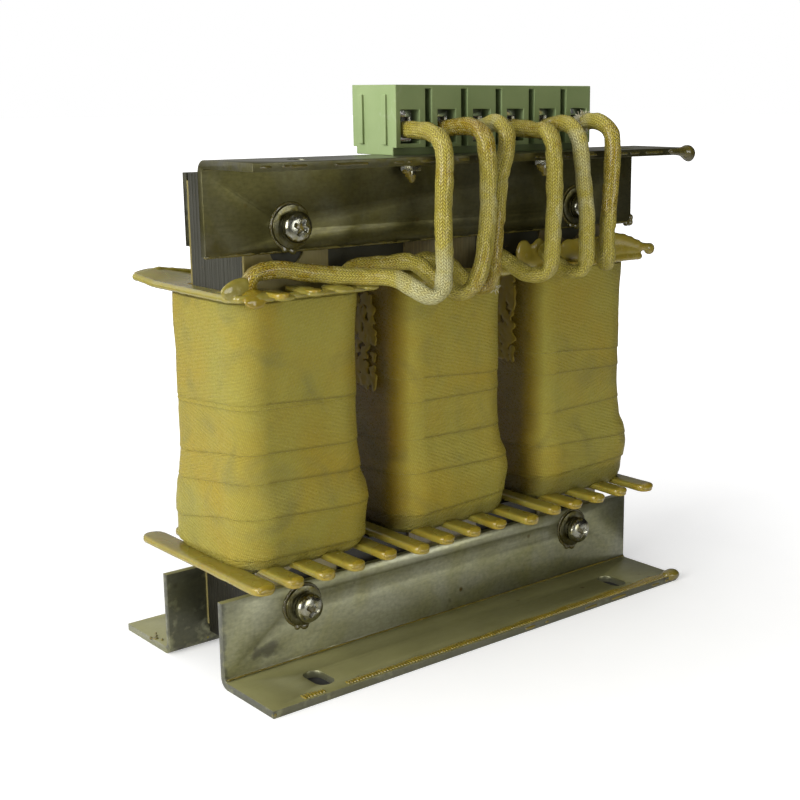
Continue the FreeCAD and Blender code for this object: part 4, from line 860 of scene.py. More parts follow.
    def threads(face_row, i, j):
        slant, band = skews[face_row]
        across, up = girth[j], every[i][j % count].z
        if i < len(bottom) or i >= len(bottom) + len(rings):
            up = every[i][j % count].x + every[i][j % count].y
        turned_across = across * math.cos(slant) + up * math.sin(slant)
        turned_up = up * math.cos(slant) - across * math.sin(slant) + band * 0.0137
        return (turned_across / WEAVE_PITCH, turned_up / (WEAVE_PITCH * 0.72))

    wrap = skin("tape_wrap_%s_wound" % side, every, threads, open_ends=True)
    form = merged(wrap.data)
    bmesh.ops.recalc_face_normals(form, faces=form.faces)
    seam_shadow = form.verts.layers.float.new("seam_shadow")
    grey = form.verts.layers.float.new("grime")
    first_edge = sum(edges[0]) / 4 + 0.0002
    for vert in form.verts:
        index = vert.index // count
        vert[seam_shadow] = marks[index] if index < len(marks) else 0.0
        vert[grey] = grime * max(0.0, min(1.0, (first_edge - vert.co.z) / 0.0016))
    form.to_mesh(wrap.data)
    form.free()
    fasten(wrap, "tape", "tape_wrap_" + side, look=tape_look("glass_tape_" + side, green, painted_shading))


tape_wrap("left", -0.050,
          [[0.0340, 0.0334, 0.0330, 0.0332], [0.0448, 0.0436, 0.0428, 0.0406], [0.0536, 0.0525, 0.0520, 0.0506],
           [0.0611, 0.0600, 0.0596, 0.0580], [0.0725, 0.0718, 0.0712, 0.0712],
           [0.0738, 0.0724, 0.0719, 0.0722]],
          (0.285, 0.270, 0.085), 0.25, 0.0, 11)
tape_wrap("middle", 0.0,
          [[0.0357, 0.0367, 0.0350, 0.0352], [0.0476, 0.0473, 0.0462, 0.0460], [0.0569, 0.0565, 0.0556, 0.0550],
           [0.0672, 0.0670, 0.0660, 0.0658], [0.0738, 0.0722, 0.0722, 0.0730]],
          (0.27, 0.25, 0.075), 0.55, 1.0, 23)
tape_wrap("right", 0.050,
          [[0.0376, 0.0386, 0.0370, 0.0368], [0.0469, 0.0458, 0.0452, 0.0450], [0.0566, 0.0573, 0.0560, 0.0556],
           [0.0683, 0.0675, 0.0664, 0.0662], [0.0748, 0.0730, 0.0726, 0.0732]],
          (0.27, 0.25, 0.075), 0.6, 1.0, 37)

# Spacer sticks: flat bars of glass laminate with round ends under each coil, across the lower yoke.
# Varnish has pooled on their front ends, which look like amber drops.
STICK_LOW = 0.02955
STICK_HIGH = 0.0317
OUTER_REAR = 0.0270
INNER_REAR = 0.0262
LEG_CLEAR = 0.0137
laminate_finish, tree, shader, place = finish("varnished_glass_laminate")
coated = varnish_on(tree, place, 0.009, 0.40)
cloudy = noisy(tree, place, 90.0, 2.0)
tone = tint(tree, spread(tree, cloudy, 0.35, 0.68), (0.300, 0.262, 0.050), (0.325, 0.270, 0.044))
tone = tint(tree, coated["Film"], tone, (0.92, 0.82, 0.62), "MULTIPLY")
tone = tint(tree, marked(tree, "amber"), tone, (0.42, 0.280, 0.018))
# Painted shade: upward faces are darker.
tone = tint(tree, facing(tree, "Z", 0.6, 0.98), tone, (0.74, 0.74, 0.62), "MULTIPLY")
connect(tree, shader, {"Base Color": tone, "Roughness": spread(tree, cloudy, 0.3, 0.7, 0.34, 0.20),
                       "Subsurface Weight": 0.25, "Subsurface Radius": (1.0, 0.55, 0.15),
                       "Subsurface Scale": 0.0015, "Coat Weight": 0.28, "Coat Roughness": 0.08,
                       "Normal": relief(tree, coated["Height"], 0.00015)})


def bar(name, x, near, far, low, high, width, seed):
    """A flat bar along Y with round ends, swollen with varnish near its front end."""
    randomly = random.Random(seed)
    lean = randomly.uniform(-0.012, 0.012)
    near += randomly.uniform(-0.0003, 0.0003)
    radius, length = width / 2, far - near
    end_steps = [0.00006, 0.0002, 0.0005, 0.0009, 0.0014, 0.0019, radius]
    stations = end_steps + [radius + (length - 2 * radius) * step / 14 for step in range(1, 14)]
    stations += [length - station for station in end_steps[::-1]]
    rings = []
    for station in stations:
        end = min(station, length - station)
        share = math.sqrt(max(0.0, 1.0 - ((radius - min(end, radius)) / radius) ** 2))
        swollen = math.exp(-(station / 0.004) ** 2)
        thick = (high - low) / 2 * (0.55 + 0.45 * math.sqrt(share)) * (1.0 + 0.14 * swollen)
        ring = []
        for step in range(20):
            turn = 2 * math.pi * step / 20
            cos, sin = math.cos(turn), math.sin(turn)
            a = math.copysign(abs(cos) ** 0.45, cos) * radius * share
            b = math.copysign(abs(sin) ** 0.55, sin) * thick
            waver = 1.0 + 0.05 * noise.noise(Vector((x * 400, (near + station) * 260, turn + seed)))
            ring.append(Vector((x + lean * (station - length / 2) + a * waver, near + station,
                                max((high + low) / 2 + b * waver, low))))
        rings.append(ring)
    piece = skin(name, rings)
    layer = piece.data.attributes.new("amber", "FLOAT", "POINT")
    for vert, value in zip(piece.data.vertices, layer.data):
        value.value = 0.5 * math.exp(-((vert.co.y - near) / 0.0030) ** 2) + 0.08
    return piece


# Front ends of the sticks under each coil, left to right: (x, front end, width).
stick_ends = {
    "left": [(-0.0712, -0.0329, 0.0066), (-0.0624, -0.0332, 0.0052), (-0.0534, -0.0335, 0.0052),
             (-0.0437, -0.0330, 0.0052), (-0.0322, -0.0316, 0.0052)],
    "middle": [(-0.0229, -0.0340, 0.0050), (-0.0127, -0.0322, 0.0052), (-0.0028, -0.0316, 0.0050),
               (0.0069, -0.0316, 0.0050), (0.0164, -0.0343, 0.0054)],
    "right": [(0.0280, -0.0318, 0.0050), (0.0366, -0.0321, 0.0052), (0.0461, -0.0322, 0.0052),
              (0.0565, -0.0314, 0.0052), (0.0658, -0.0335, 0.0060)]}
for side, ends in stick_ends.items():
    sticks = []
    for index, (x, front_end, width) in enumerate(ends):
        seed = int(x * 10000) + 60
        runs = [(front_end, OUTER_REAR, seed)]
        if index not in (0, 4):
            runs = [(front_end, -LEG_CLEAR, seed), (LEG_CLEAR, INNER_REAR, seed + 5)]
        sticks += [bar("stick", x, near, far, STICK_LOW, STICK_HIGH, width, chance)
                   for near, far, chance in runs]
    sticks = join("bottom_sticks_%s_set" % side, sticks)
    fasten(sticks, "laminate", "bottom_sticks_" + side, look=laminate_finish)

# Top plates: a thin laminate plate closes each coil, with a window for the leg. Its edges are drowned
# in varnish, its corners curl up, and two short bars lie on it with their front ends standing out.
PLATE_LOW = 0.1002
PLATE_HIGH = 0.1008
PLATE_HALF = 0.0220
PLATE_FRONT = -0.0220
PLATE_BACK = 0.0280
FRONT_ROUND = 0.0060
WINDOW_X = 0.0131
WINDOW_Y = 0.0139
TOP_STICK_HIGH = 0.1022


def lines_across(low, high, count, window):
    """Places of a plate's grid lines, with one on each side of the window."""
    even = [low + (high - low) * step / count for step in range(count + 1)]
    clear = [round(place, 5) for place in even if abs(abs(place) - window) > 0.0006]
    return sorted(set(clear + [-window, window]))


def top_plate(side, centre, curls, seed, left_edge=-PLATE_HALF):
    """One plate, bent at the given corners: (x, y, lift, reach) beyond the coil's middle."""
    xs = lines_across(-PLATE_HALF, PLATE_HALF, 44, WINDOW_X)
    ys = lines_across(PLATE_FRONT, PLATE_BACK, 50, WINDOW_Y)
    form = bmesh.new()
    grid = {}
    for i, x in enumerate(xs):
        for j, y in enumerate(ys):
            flat_x, flat_y = x, y
            over_x, over_y = abs(x) - (PLATE_HALF - FRONT_ROUND), PLATE_FRONT + FRONT_ROUND - y
            if over_x > 0.0 and over_y > 0.0:
                share = max(over_x, over_y) / math.hypot(over_x, over_y)
                flat_x = math.copysign(PLATE_HALF - FRONT_ROUND + over_x * share, x)
                flat_y = PLATE_FRONT + FRONT_ROUND - over_y * share
            if flat_x < -WINDOW_X:
                flat_x = -WINDOW_X + (flat_x + WINDOW_X) * (left_edge + WINDOW_X) / (WINDOW_X - PLATE_HALF)
            lift = 0.00015 * noise.noise(Vector((x * 90 + seed, y * 90, 0.0)))
            push = Vector((0.0, 0.0))
            for curl_x, curl_y, rise, reach in curls:
                near = math.exp(-(((x - curl_x) ** 2 + (y - curl_y) ** 2) / reach ** 2))
                lift += rise * near
                push += Vector((math.copysign(1.0, curl_x), math.copysign(1.0, curl_y))) * near * rise * 0.35
            if abs(abs(x) - PLATE_HALF) < 1e-5 or y in (ys[0], ys[-1]):
                ragged = 0.0003 * noise.noise(Vector((x * 300, y * 300, seed)))
                push += Vector((ragged, ragged))
            grid[i, j] = form.verts.new((centre + flat_x + push.x, flat_y + push.y,
                                         (PLATE_LOW + PLATE_HIGH) / 2 + max(lift, 0.0)))
    for i in range(len(xs) - 1):
        for j in range(len(ys) - 1):
            if abs(xs[i] + xs[i + 1]) / 2 >= WINDOW_X or abs(ys[j] + ys[j + 1]) / 2 >= WINDOW_Y:
                form.faces.new((grid[i, j], grid[i + 1, j], grid[i + 1, j + 1], grid[i, j + 1]))
    bmesh.ops.delete(form, geom=[vert for vert in form.verts if not vert.link_faces], context="VERTS")
    plate = smooth_piece("top_plate_%s_sheet" % side, form)
    thick = plate.modifiers.new("thickness", "SOLIDIFY")
    thick.thickness = PLATE_HIGH - PLATE_LOW
    thick.offset = 0.0
    edges = plate.modifiers.new("edges", "BEVEL")
    edges.width = 0.0002
    edges.segments = 2
    edges.limit_method = "ANGLE"
    edges.angle_limit = math.radians(40.0)
    settle(plate)
    fasten(plate, "laminate", "top_plate_" + side, look=laminate_finish)


top_plate("left", -0.050, [(-0.0220, 0.0280, 0.0014, 0.0070), (-0.0130, 0.0290, 0.0026, 0.0085),
                           (0.0220, 0.0280, 0.0008, 0.006)], 3, -0.0200)
top_plate("middle", 0.0, [(-0.0220, 0.0280, 0.0006, 0.007), (0.0220, -0.0220, 0.0010, 0.006)], 7)
top_plate("right", 0.050, [(0.0220, -0.0220, 0.0026, 0.0075), (0.0220, 0.0280, 0.0010, 0.008)], 9)
for side, centre in COILS:
    pair = [bar("bar", centre + index * 0.0096, -0.0270, -LEG_CLEAR, PLATE_HIGH, TOP_STICK_HIGH, 0.0040,
                int(centre * 1000) + 90 + index) for index in (-1, 0)]
    fasten(join("top_sticks_%s_set" % side, pair), "laminate", "top_sticks_" + side, look=laminate_finish)

# Terminal block: one moulded housing of six poles in sage green plastic with a fine eroded grain, open
# from front to back. A steel cage with two clamp screws holds the wire in each pole.
# The front is painted darker than the sides, a painted shade, and the grooves and openings behind it take a
# deeper painted shade.
BLOCK_LEFT = -0.0252
BLOCK_RIGHT = 0.0436
BLOCK_TOP = 0.1512
BIG_FACE = 6e-6
housing_finish, tree, shader, place = finish("sage_green_plastic")
grain = noisy(tree, place, 3500.0, 2.0)
drift = spread(tree, noisy(tree, place, 90.0, 3.0), 0.3, 0.7)
smears = spread(tree, noisy(tree, place, 260.0, 4.0, 1.2), 0.62, 0.80, 0.0, 0.45)
green = tint(tree, drift, (0.290, 0.385, 0.165), (0.325, 0.420, 0.190))
green = tint(tree, smears, green, (0.44, 0.50, 0.32))
# Painted shade: faces turned to the front are darker.
green = tint(tree, facing(tree, "Y", -0.6, -0.95), green, (0.62, 0.61, 0.51), "MULTIPLY")
# Painted shade in the grooves and openings behind the front face.
painted_recess_shade = spread(tree, part(tree, place, "Y"), -0.0268, -0.0245)
for axis, edge, within in (("X", BLOCK_LEFT, 0.0002), ("Z", BLOCK_TOP, -0.0004), ("X", BLOCK_RIGHT, -0.0002)):
    painted_recess_shade = reckon(tree, "MULTIPLY", painted_recess_shade, spread(tree, part(tree, place, axis), edge, edge + within))
green = tint(tree, painted_recess_shade, green, (0.34, 0.36, 0.30), "MULTIPLY")
connect(tree, shader, {"Base Color": green, "Roughness": spread(tree, grain, 0.3, 0.7, 0.50, 0.62),
                       "Normal": relief(tree, grain, 0.00002)})
housing = softened("terminal_housing", 0.00016, corner=40.0)
for face in housing.data.polygons:
    if face.area > BIG_FACE:
        face.use_smooth = False
fasten(housing, "housing", "terminal_housing", look=housing_finish)

cage_finish = bright_metal("plated_cage", (0.80, 0.80, 0.78), 0.14, 0.1, (0.85, 0.80, 0.6))
fasten(softened("clamp_cages", 0.0001), "screw_steel", "clamp_cages", look=cage_finish)


def slotted_screw(node, x, y, tip, seat, top, head_radius, slot_width, columns, column_step, rows_deep=1):
    """Like cheese-head screws that stand upright, with a slot across each head."""
    radius = 0.0015
    profile = [(0.0002, tip), (radius - 0.0003, tip), (radius - 0.0001, tip + 0.0003)]
    for step in range(int((seat - tip - 0.0006) / 0.00025)):
        groove = 0.00018 if step % 2 else 0.0
        profile.append((radius - 0.00002 - groove, tip + 0.0004 + 0.00025 * step))
    profile += [(radius - 0.0001, seat), (head_radius - 0.0002, seat), (head_radius, seat + 0.0002),
                (head_radius, top - 0.0004), (head_radius - 0.0003, top - 0.0001), (head_radius - 0.0008, top),
                (0.0002, top)]
    screw = turned(node + "_made", profile, "Z", (x, y, 0.0), 32)
    cut_with(screw, tapered_bar("slot", (x, y, 0.0), head_radius * 3.2, slot_width, "Z", top + 0.0003,
                                top - 0.0009))
    repeat(screw, rows, {"Columns": columns, "Column Step": (column_step, 0.0, 0.0), "Rows": rows_deep,
                         "Row Step": (0.0, 0.0065, 0.0015), "Finish": screw_finish})
    fasten(screw, "screw_steel", node)


slotted_screw("terminal_screws", -0.0208, -0.0210, 0.1418, 0.1460, 0.1482, 0.0021, 0.0007, 6, 0.012, 2)
slotted_screw("block_screws", -0.0148, -0.0190, 0.1282, 0.1462, 0.1482, 0.00275, 0.0008, 2, 0.048)
fasten(softened("block_nuts", 0.00015), "screw_steel", "block_nuts", look=screw_finish)

# Leads: braided glass sleeves over the winding's ends, from each coil's top plate along it, up in front
# of the top bracket and into the terminals. They are soaked amber in places and dry and pale in others.
SLEEVE_RADIUS = 0.00225
SLEEVE_STEP = 0.00030
CREASE_PITCH = 0.0011
routes = [
    [(-0.0208, -0.0241, 0.1404), (-0.0208, -0.0270, 0.1404), (-0.0212, -0.0350, 0.1402),
     (-0.0222, -0.0414, 0.1386), (-0.0223, -0.0428, 0.1330), (-0.0232, -0.0425, 0.1194),
     (-0.0222, -0.0424, 0.1022), (-0.0254, -0.0421, 0.0990), (-0.0289, -0.0392, 0.1014),
     (-0.0300, -0.0312, 0.1044), (-0.0372, -0.0234, 0.1039), (-0.0480, -0.0198, 0.1056),
     (-0.0582, -0.0180, 0.1074), (-0.0640, -0.0170, 0.1058), (-0.0640, -0.0170, 0.1008)],
    [(-0.0088, -0.0241, 0.1404), (-0.0088, -0.0270, 0.1404), (-0.0086, -0.0352, 0.1416),
     (-0.0086, -0.0414, 0.1402), (-0.0085, -0.0429, 0.1340), (-0.0079, -0.0425, 0.1210),
     (-0.0096, -0.0425, 0.1084), (-0.0122, -0.0427, 0.1022), (-0.0156, -0.0412, 0.0989),
     (-0.0194, -0.0356, 0.1022), (-0.0200, -0.0274, 0.1074), (-0.0262, -0.0214, 0.1060),
     (-0.0360, -0.0170, 0.1058), (-0.0360, -0.0170, 0.1008)],
    [(0.0032, -0.0241, 0.1404), (0.0032, -0.0270, 0.1404), (0.0016, -0.0342, 0.1424),
     (-0.0001, -0.0406, 0.1404), (-0.0006, -0.0412, 0.1350), (-0.0029, -0.0410, 0.1290),
     (-0.0038, -0.0408, 0.1185), (-0.0052, -0.0409, 0.1077), (-0.0052, -0.0409, 0.1016),
     (-0.0070, -0.0362, 0.0989), (-0.0074, -0.0295, 0.1034), (-0.0085, -0.0235, 0.1062),
     (-0.0140, -0.0170, 0.1058), (-0.0140, -0.0170, 0.1008)],
    [(0.0152, -0.0241, 0.1404), (0.0152, -0.0270, 0.1404), (0.0154, -0.0350, 0.1398),
     (0.0146, -0.0412, 0.1400), (0.0146, -0.0429, 0.1344), (0.0154, -0.0424, 0.1212),
     (0.0145, -0.0427, 0.1097), (0.0140, -0.0424, 0.1024), (0.0104, -0.0382, 0.1014),
     (0.0100, -0.0306, 0.1046), (0.0108, -0.0239, 0.1064), (0.0140, -0.0170, 0.1058),
     (0.0140, -0.0170, 0.1008)],
    [(0.0272, -0.0241, 0.1404), (0.0272, -0.0270, 0.1404), (0.0258, -0.0350, 0.1420),
     (0.0249, -0.0413, 0.1394), (0.0249, -0.0427, 0.1338), (0.0262, -0.0423, 0.1265),
     (0.0276, -0.0424, 0.1190), (0.0276, -0.0426, 0.1065), (0.0270, -0.0420, 0.1017),
     (0.0246, -0.0376, 0.1013), (0.0250, -0.0310, 0.1046), (0.0300, -0.0235, 0.1056),
     (0.0360, -0.0170, 0.1058), (0.0360, -0.0170, 0.1008)],
    [(0.0392, -0.0241, 0.1404), (0.0392, -0.0270, 0.1404), (0.0378, -0.0344, 0.1426),
     (0.0377, -0.0414, 0.1400), (0.0372, -0.0427, 0.1346), (0.0364, -0.0424, 0.1224),
     (0.0357, -0.0422, 0.1100), (0.0361, -0.0420, 0.1046), (0.0394, -0.0385, 0.1022),
     (0.0460, -0.0300, 0.1052), (0.0560, -0.0200, 0.1062), (0.0640, -0.0170, 0.1058),
     (0.0640, -0.0170, 0.1008)],
]
# How wet each sleeve is along its run, from the terminal on: 1 soaked amber, 0 golden, -1 dry and pale.
wetness = [
    [(0.0, 0.1), (0.2, 0.3), (0.36, 0.0), (0.44, -0.9), (0.58, -0.7), (0.66, 0.2), (0.8, 0.5), (0.92, 0.7),
     (1.0, 1.0)],
    [(0.0, 0.9), (0.14, 0.9), (0.22, 0.5), (0.30, -0.5), (0.40, -0.3), (0.55, 0.4), (0.7, 0.1), (1.0, 0.6)],
    [(0.0, -0.9), (0.12, -0.5), (0.2, 0.3), (0.35, -0.2), (0.5, 0.7), (0.62, 0.8), (0.8, 0.0), (1.0, 0.5)],
    [(0.0, 0.3), (0.12, 0.6), (0.3, 0.1), (0.45, -0.3), (0.6, 0.1), (0.75, -0.1), (1.0, 0.5)],
    [(0.0, 0.3), (0.1, 0.6), (0.22, -0.5), (0.4, -0.6), (0.55, -0.2), (0.7, 0.1), (1.0, 0.5)],
    [(0.0, -1.0), (0.08, -0.3), (0.2, 0.5), (0.4, 0.5), (0.55, 0.1), (0.7, 0.3), (1.0, 0.6)],
]

braided, given, out = effect("braided_threads", {}, ("Height", "Thread"))
across, along = part(braided, given["Vector"], "X"), part(braided, given["Vector"], "Y")
slanted = reckon(braided, "MULTIPLY", reckon(braided, "PINGPONG", across, 1.0), 0.9)
laid = reckon(braided, "ADD", along, slanted)
ridge, valley = [reckon(braided, "ABSOLUTE", reckon(braided, "SINE", reckon(braided, "MULTIPLY", way, math.pi)))
                 for way in (laid, across)]
ridge = reckon(braided, "MULTIPLY", reckon(braided, "POWER", ridge, 0.55),
               spread(braided, valley, 0.0, 0.6, 0.35, 1.0))
cell = add(braided, "ShaderNodeCombineXYZ", {"X": reckon(braided, "FLOOR", across),
                                             "Y": reckon(braided, "FLOOR", laid)})
single = add(braided, "ShaderNodeTexWhiteNoise", {"Vector": cell}, noise_dimensions="3D")
connect(braided, out, {"Height": ridge, "Thread": single})

braid_finish, tree, shader, place = finish("braided_glass_sleeve")
braid = by_surface(tree, braided)
blotchy = spread(tree, noisy(tree, place, 210.0, 3.0, 0.8), 0.3, 0.7, -0.45, 0.45)
wet = reckon(tree, "ADD", marked(tree, "wet"), blotchy)
tone = tint(tree, spread(tree, wet, 0.2, 1.0), (0.480, 0.405, 0.058), (0.370, 0.255, 0.013))
tone = tint(tree, spread(tree, wet, -0.25, -0.95), tone, (0.56, 0.535, 0.27))
# Painted shade in the gaps between the braid's threads.
tone = tint(tree, spread(tree, braid["Height"], 0.15, 0.75, 0.85, 0.0), tone, (0.42, 0.34, 0.12), "MULTIPLY")
tone = tint(tree, spread(tree, braid["Thread"], 0.6, 1.0, 0.0, 0.35), tone, (0.66, 0.58, 0.22))
connect(tree, shader, {"Base Color": tone, "Roughness": spread(tree, wet, -0.6, 0.7, 0.55, 0.26),
                       "Coat Weight": spread(tree, wet, -0.2, 0.9, 0.0, 0.6), "Coat Roughness": 0.14,
                       "Normal": relief(tree, braid["Height"], 0.00030)})


def points_along(route, spacing):
    """Evenly spaced points on the smooth run through a route."""
    curve = bpy.data.curves.new("route", "CURVE")
    curve.dimensions = "3D"
    curve.resolution_u = 32
    lay_spline(curve, route)
    raw = [vert.co.copy() for vert in mesh_only(linked("route", curve)).vertices]
    lengths = [0.0]
    for a, b in zip(raw, raw[1:]):
        lengths.append(lengths[-1] + (b - a).length)
    count = int(lengths[-1] / spacing) + 1
    points, index = [], 0
    for step in range(count):
        target = lengths[-1] * step / (count - 1)
        while index < len(raw) - 2 and lengths[index + 1] < target:
            index += 1
        share = (target - lengths[index]) / max(lengths[index + 1] - lengths[index], 1e-9)
        points.append(raw[index].lerp(raw[index + 1], min(share, 1.0)))
    return points


def sleeve(number, route, wet_levels):
    """A braided sleeve along its route: it flattens and creases where it is folded."""
    points = points_along(route, SLEEVE_STEP)
    count, around, columns, stitch = len(points), 28, 20, 0.00088
    tangents = [(points[min(i + 1, count - 1)] - points[max(i - 1, 0)]).normalized() for i in range(count)]
    bends = []
    for i in range(count):
        before, after = max(i - 6, 0), min(i + 6, count - 1)
        bends.append((tangents[after] - tangents[before]) / (SLEEVE_STEP * (after - before)))
    side = Vector((1.0, 0.0, 0.0))
    rings = []
    for i, (point, tangent) in enumerate(zip(points, tangents)):
        side = (side - tangent * side.dot(tangent)).normalized()
        up = tangent.cross(side)
        pinch = max(0.0, min(bends[i].length * SLEEVE_RADIUS, 0.62) - 0.24) / 0.30
        inward = bends[i].normalized() if bends[i].length > 1e-6 else up
        along = SLEEVE_STEP * i
        swell = 1.0 + 0.045 * noise.noise(Vector((along * 160, number * 7.1, 0.0)))
        swell += 0.020 * noise.noise(Vector((along * 420, number * 3.3, 5.0)))
        ring = []
        for step in range(around):
            turn = 2 * math.pi * step / around
            out = side * math.cos(turn) + up * math.sin(turn)
            toward = out.dot(inward)
            radius = SLEEVE_RADIUS * swell
            radius *= 1.0 - 0.16 * pinch * toward * toward + 0.08 * pinch * (1.0 - toward * toward)
            radius += 0.00022 * noise.noise(Vector((along * 210 + 9.0 * number, out.x * 1.3, out.z * 1.3)))
            dent = noise.noise(Vector((along * 330, turn * 0.7, number * 2.3))) - 0.22
            radius -= 0.00030 * max(0.0, dent) * 2.2
            if toward > 0.2:
                crease = math.sin(along / CREASE_PITCH * 2 * math.pi + number) * 0.00034 * pinch
                radius += crease * (toward - 0.2)
            fine = Vector((along * 300, math.cos(turn) * 2, math.sin(turn) * 2 + number))
            radius += 0.00007 * noise.noise(fine)
            ring.append(point + out * radius)
        rings.append(ring)

    def braid_place(face_row, i, j):
        return (j / around * columns, SLEEVE_STEP * i / stitch)

    piece = skin("lead_sleeve_%d_braided" % number, rings, braid_place)
    layer = piece.data.attributes.new("wet", "FLOAT", "POINT")
    for index, value in enumerate(layer.data):
        value.value = smooth_between(wet_levels, min(index // around, count - 1) / (count - 1))
    fasten(piece, "sleeve", "lead_sleeve_%d" % number, look=braid_finish)


for number, (route, wet_levels) in enumerate(zip(routes, wetness), start=1):
    sleeve(number, route, wet_levels)

thread_finish, tree, shader, place = finish("loose_glass_thread")
wound = noisy(tree, place, 1800.0, 2.0)
connect(tree, shader, {"Base Color": tint(tree, wound, (0.50, 0.45, 0.26), (0.68, 0.65, 0.52)),
                       "Roughness": 0.55, "Normal": relief(tree, wound, 0.00002)})


def fray(name, centre, reach, length, strands, seed):
    """Loose threads that stand out of a sleeve's cut or rubbed end, each fixed inside the sleeve."""
    randomly = random.Random(seed)
    curve = bpy.data.curves.new(name, "CURVE")
    curve.dimensions = "3D"
    curve.bevel_depth = 0.00009
    curve.bevel_resolution = 1
    curve.use_fill_caps = True
    for _ in range(strands):
        way = Vector([randomly.gauss(0.0, 1.0) for _ in range(3)]).normalized()
        sag = Vector((0.0, 0.0, -0.4 * length * randomly.random()))
        drift = Vector([randomly.uniform(-0.4, 0.4) * length for _ in range(3)])
        start = Vector(centre) + way * reach * 0.6
        lay_spline(curve, [start + way * length * share * randomly.uniform(0.8, 1.1)
                           + (drift + sag) * share * share for share in (0.0, 0.35, 0.7, 1.0)])
    mesh = mesh_only(linked(name + "_route", curve))
    form = merged(mesh)
    bmesh.ops.recalc_face_normals(form, faces=form.faces)
    form.to_mesh(mesh)
    form.free()
    fasten(linked(name, mesh), "sleeve", look=thread_finish)


fray("frayed_end_1", (0.0376, -0.0302, 0.1420), 0.0019, 0.0017, 170, 3)
fray("frayed_end_2", (-0.0040, -0.0400, 0.1000), 0.0014, 0.0009, 26, 4)
fray("frayed_end_3", (-0.0470, -0.0192, 0.1064), 0.0012, 0.0008, 12, 6)

# Dried varnish: what ran and set after dipping. Beads hang on the brackets' edges, drops on the sticks'
# ends, rims and lobes on the top plates, and a lacy crust sticks between the coils.
def varnish_look(name, coat, dullest):
    """Set varnish, from pale yellow where it is thin through amber and olive to nearly black."""
    made, tree, shader, place = finish(name)
    deep = marked(tree, "deep")
    milky = noisy(tree, place, 320.0, 3.0)
    tone = tint(tree, spread(tree, milky, 0.35, 0.65), (0.290, 0.246, 0.042), (0.320, 0.272, 0.056))
    for low, high, deeper in ((0.0, 0.35, (0.310, 0.222, 0.018)), (0.35, 0.7, (0.150, 0.124, 0.026)),
                              (0.7, 1.0, (0.062, 0.052, 0.012))):
        tone = tint(tree, spread(tree, deep, low, high), tone, deeper)
    connect(tree, shader, {"Base Color": tone, "Subsurface Weight": 0.12, "Subsurface Scale": 0.0012,
                           "Subsurface Radius": (1.0, 0.6, 0.2), "Coat Weight": coat, "Coat Roughness": 0.05,
                           "Roughness": spread(tree, milky, 0.3, 0.7, dullest - 0.14, dullest),
                           "Normal": relief(tree, noisy(tree, place, 900.0, 2.0), 0.00005)})
    return made


varnish_finish = varnish_look("dried_varnish", 0.6, 0.30)
crust_finish = varnish_look("crusted_varnish", 0.05, 0.60)


def run_together(name, drops, deepness, fineness=0.3, look=varnish_finish):
    """Drops that have run into one another: (x, y, z, half width, half depth, half height), in mm."""
    pool = bpy.data.metaballs.new(name)
    pool.resolution = fineness
    pool.threshold = 0.6
    for x, y, z, wide, far, high in drops:
        drop = pool.elements.new(type="ELLIPSOID")
        drop.co = (x, y, z)
        drop.radius = 1.74
        drop.size_x, drop.size_y, drop.size_z = wide, far, high
    mesh = mesh_only(linked(name, pool))
    bpy.data.metaballs.remove(pool)
    mesh.transform(Matrix.Scale(0.001, 4))
    form = merged(mesh)
    for vert in form.verts:
        vert.co += vert.normal * 0.00009 * noise.noise(vert.co * 600.0)
    for face in form.faces:
        face.smooth = True
    bmesh.ops.recalc_face_normals(form, faces=form.faces)
    form.to_mesh(mesh)
    form.free()
    layer = mesh.attributes.new("deep", "FLOAT", "POINT")
    for vert, value in zip(mesh.vertices, layer.data):
        value.value = deepness + 0.12 * noise.noise(vert.co * 260.0)
    fasten(linked(name, mesh), "laminate", look=look)


def edge_beads(start, end, thin, thick, seed, gaps=0.0, step=0.6):
    """Beads along an edge, from thin to thick by turns, with gaps where the share is above zero."""
    randomly = random.Random(seed)
    length = (Vector(end) - Vector(start)).length
    drops = []
    for index in range(int(length / step) + 1):
        spot = Vector(start).lerp(Vector(end), index * step / length)
        wave = noise.noise(Vector((index * step * 0.23, seed * 3.1, 0.0))) * 0.5 + 0.5
        fine = noise.noise(Vector((index * step * 0.9, seed * 1.7, 4.0))) * 0.5 + 0.5
        if wave < gaps:
            continue
        size = thin + (thick - thin) * (0.6 * wave + 0.4 * fine) * randomly.uniform(0.85, 1.15)
        drops.append((spot.x, spot.y, spot.z, max(size, step * 0.9), size, size))
    return drops


def ball(x, y, z, size):
    """A round drop."""
    return (x, y, z, size, size, size)


flange_beads = edge_beads((10.0, -38.0, 0.9), (70.0, -38.0, 0.9), 0.25, 0.50, 5, 0.50)
flange_beads += [(72.6, -36.6, 2.1, 2.6, 2.2, 1.2), (74.0, -36.9, 1.9, 1.6, 1.8, 1.3),
                 (74.2, -37.5, 1.2, 1.4, 1.0, 1.1), (72.4, -37.9, 1.0, 1.6, 0.6, 0.8),
                 ball(-73.6, -37.6, 0.9, 0.7)]
run_together("flange_beads", flange_beads, 0.62)
ripples = []
for index in range(142):
    x = -64.0 + 0.95 * index
    wave = noise.noise(Vector((x * 0.12, 3.0, 8.0)))
    if x < -30.0 and wave < -0.15:
        continue
    ripples.append((x, -36.3 + 0.35 * wave, 1.98, 0.44, 1.5 + 0.6 * wave + 0.006 * x, 0.36))
run_together("flange_ripples", ripples, 0.47, 0.28)
bend_run = edge_beads((-73.4, -15.9, 2.55), (73.4, -15.9, 2.55), 0.16, 0.30, 9, 0.0, 0.8)
run_together("bend_run", bend_run, 0.62, 0.3)
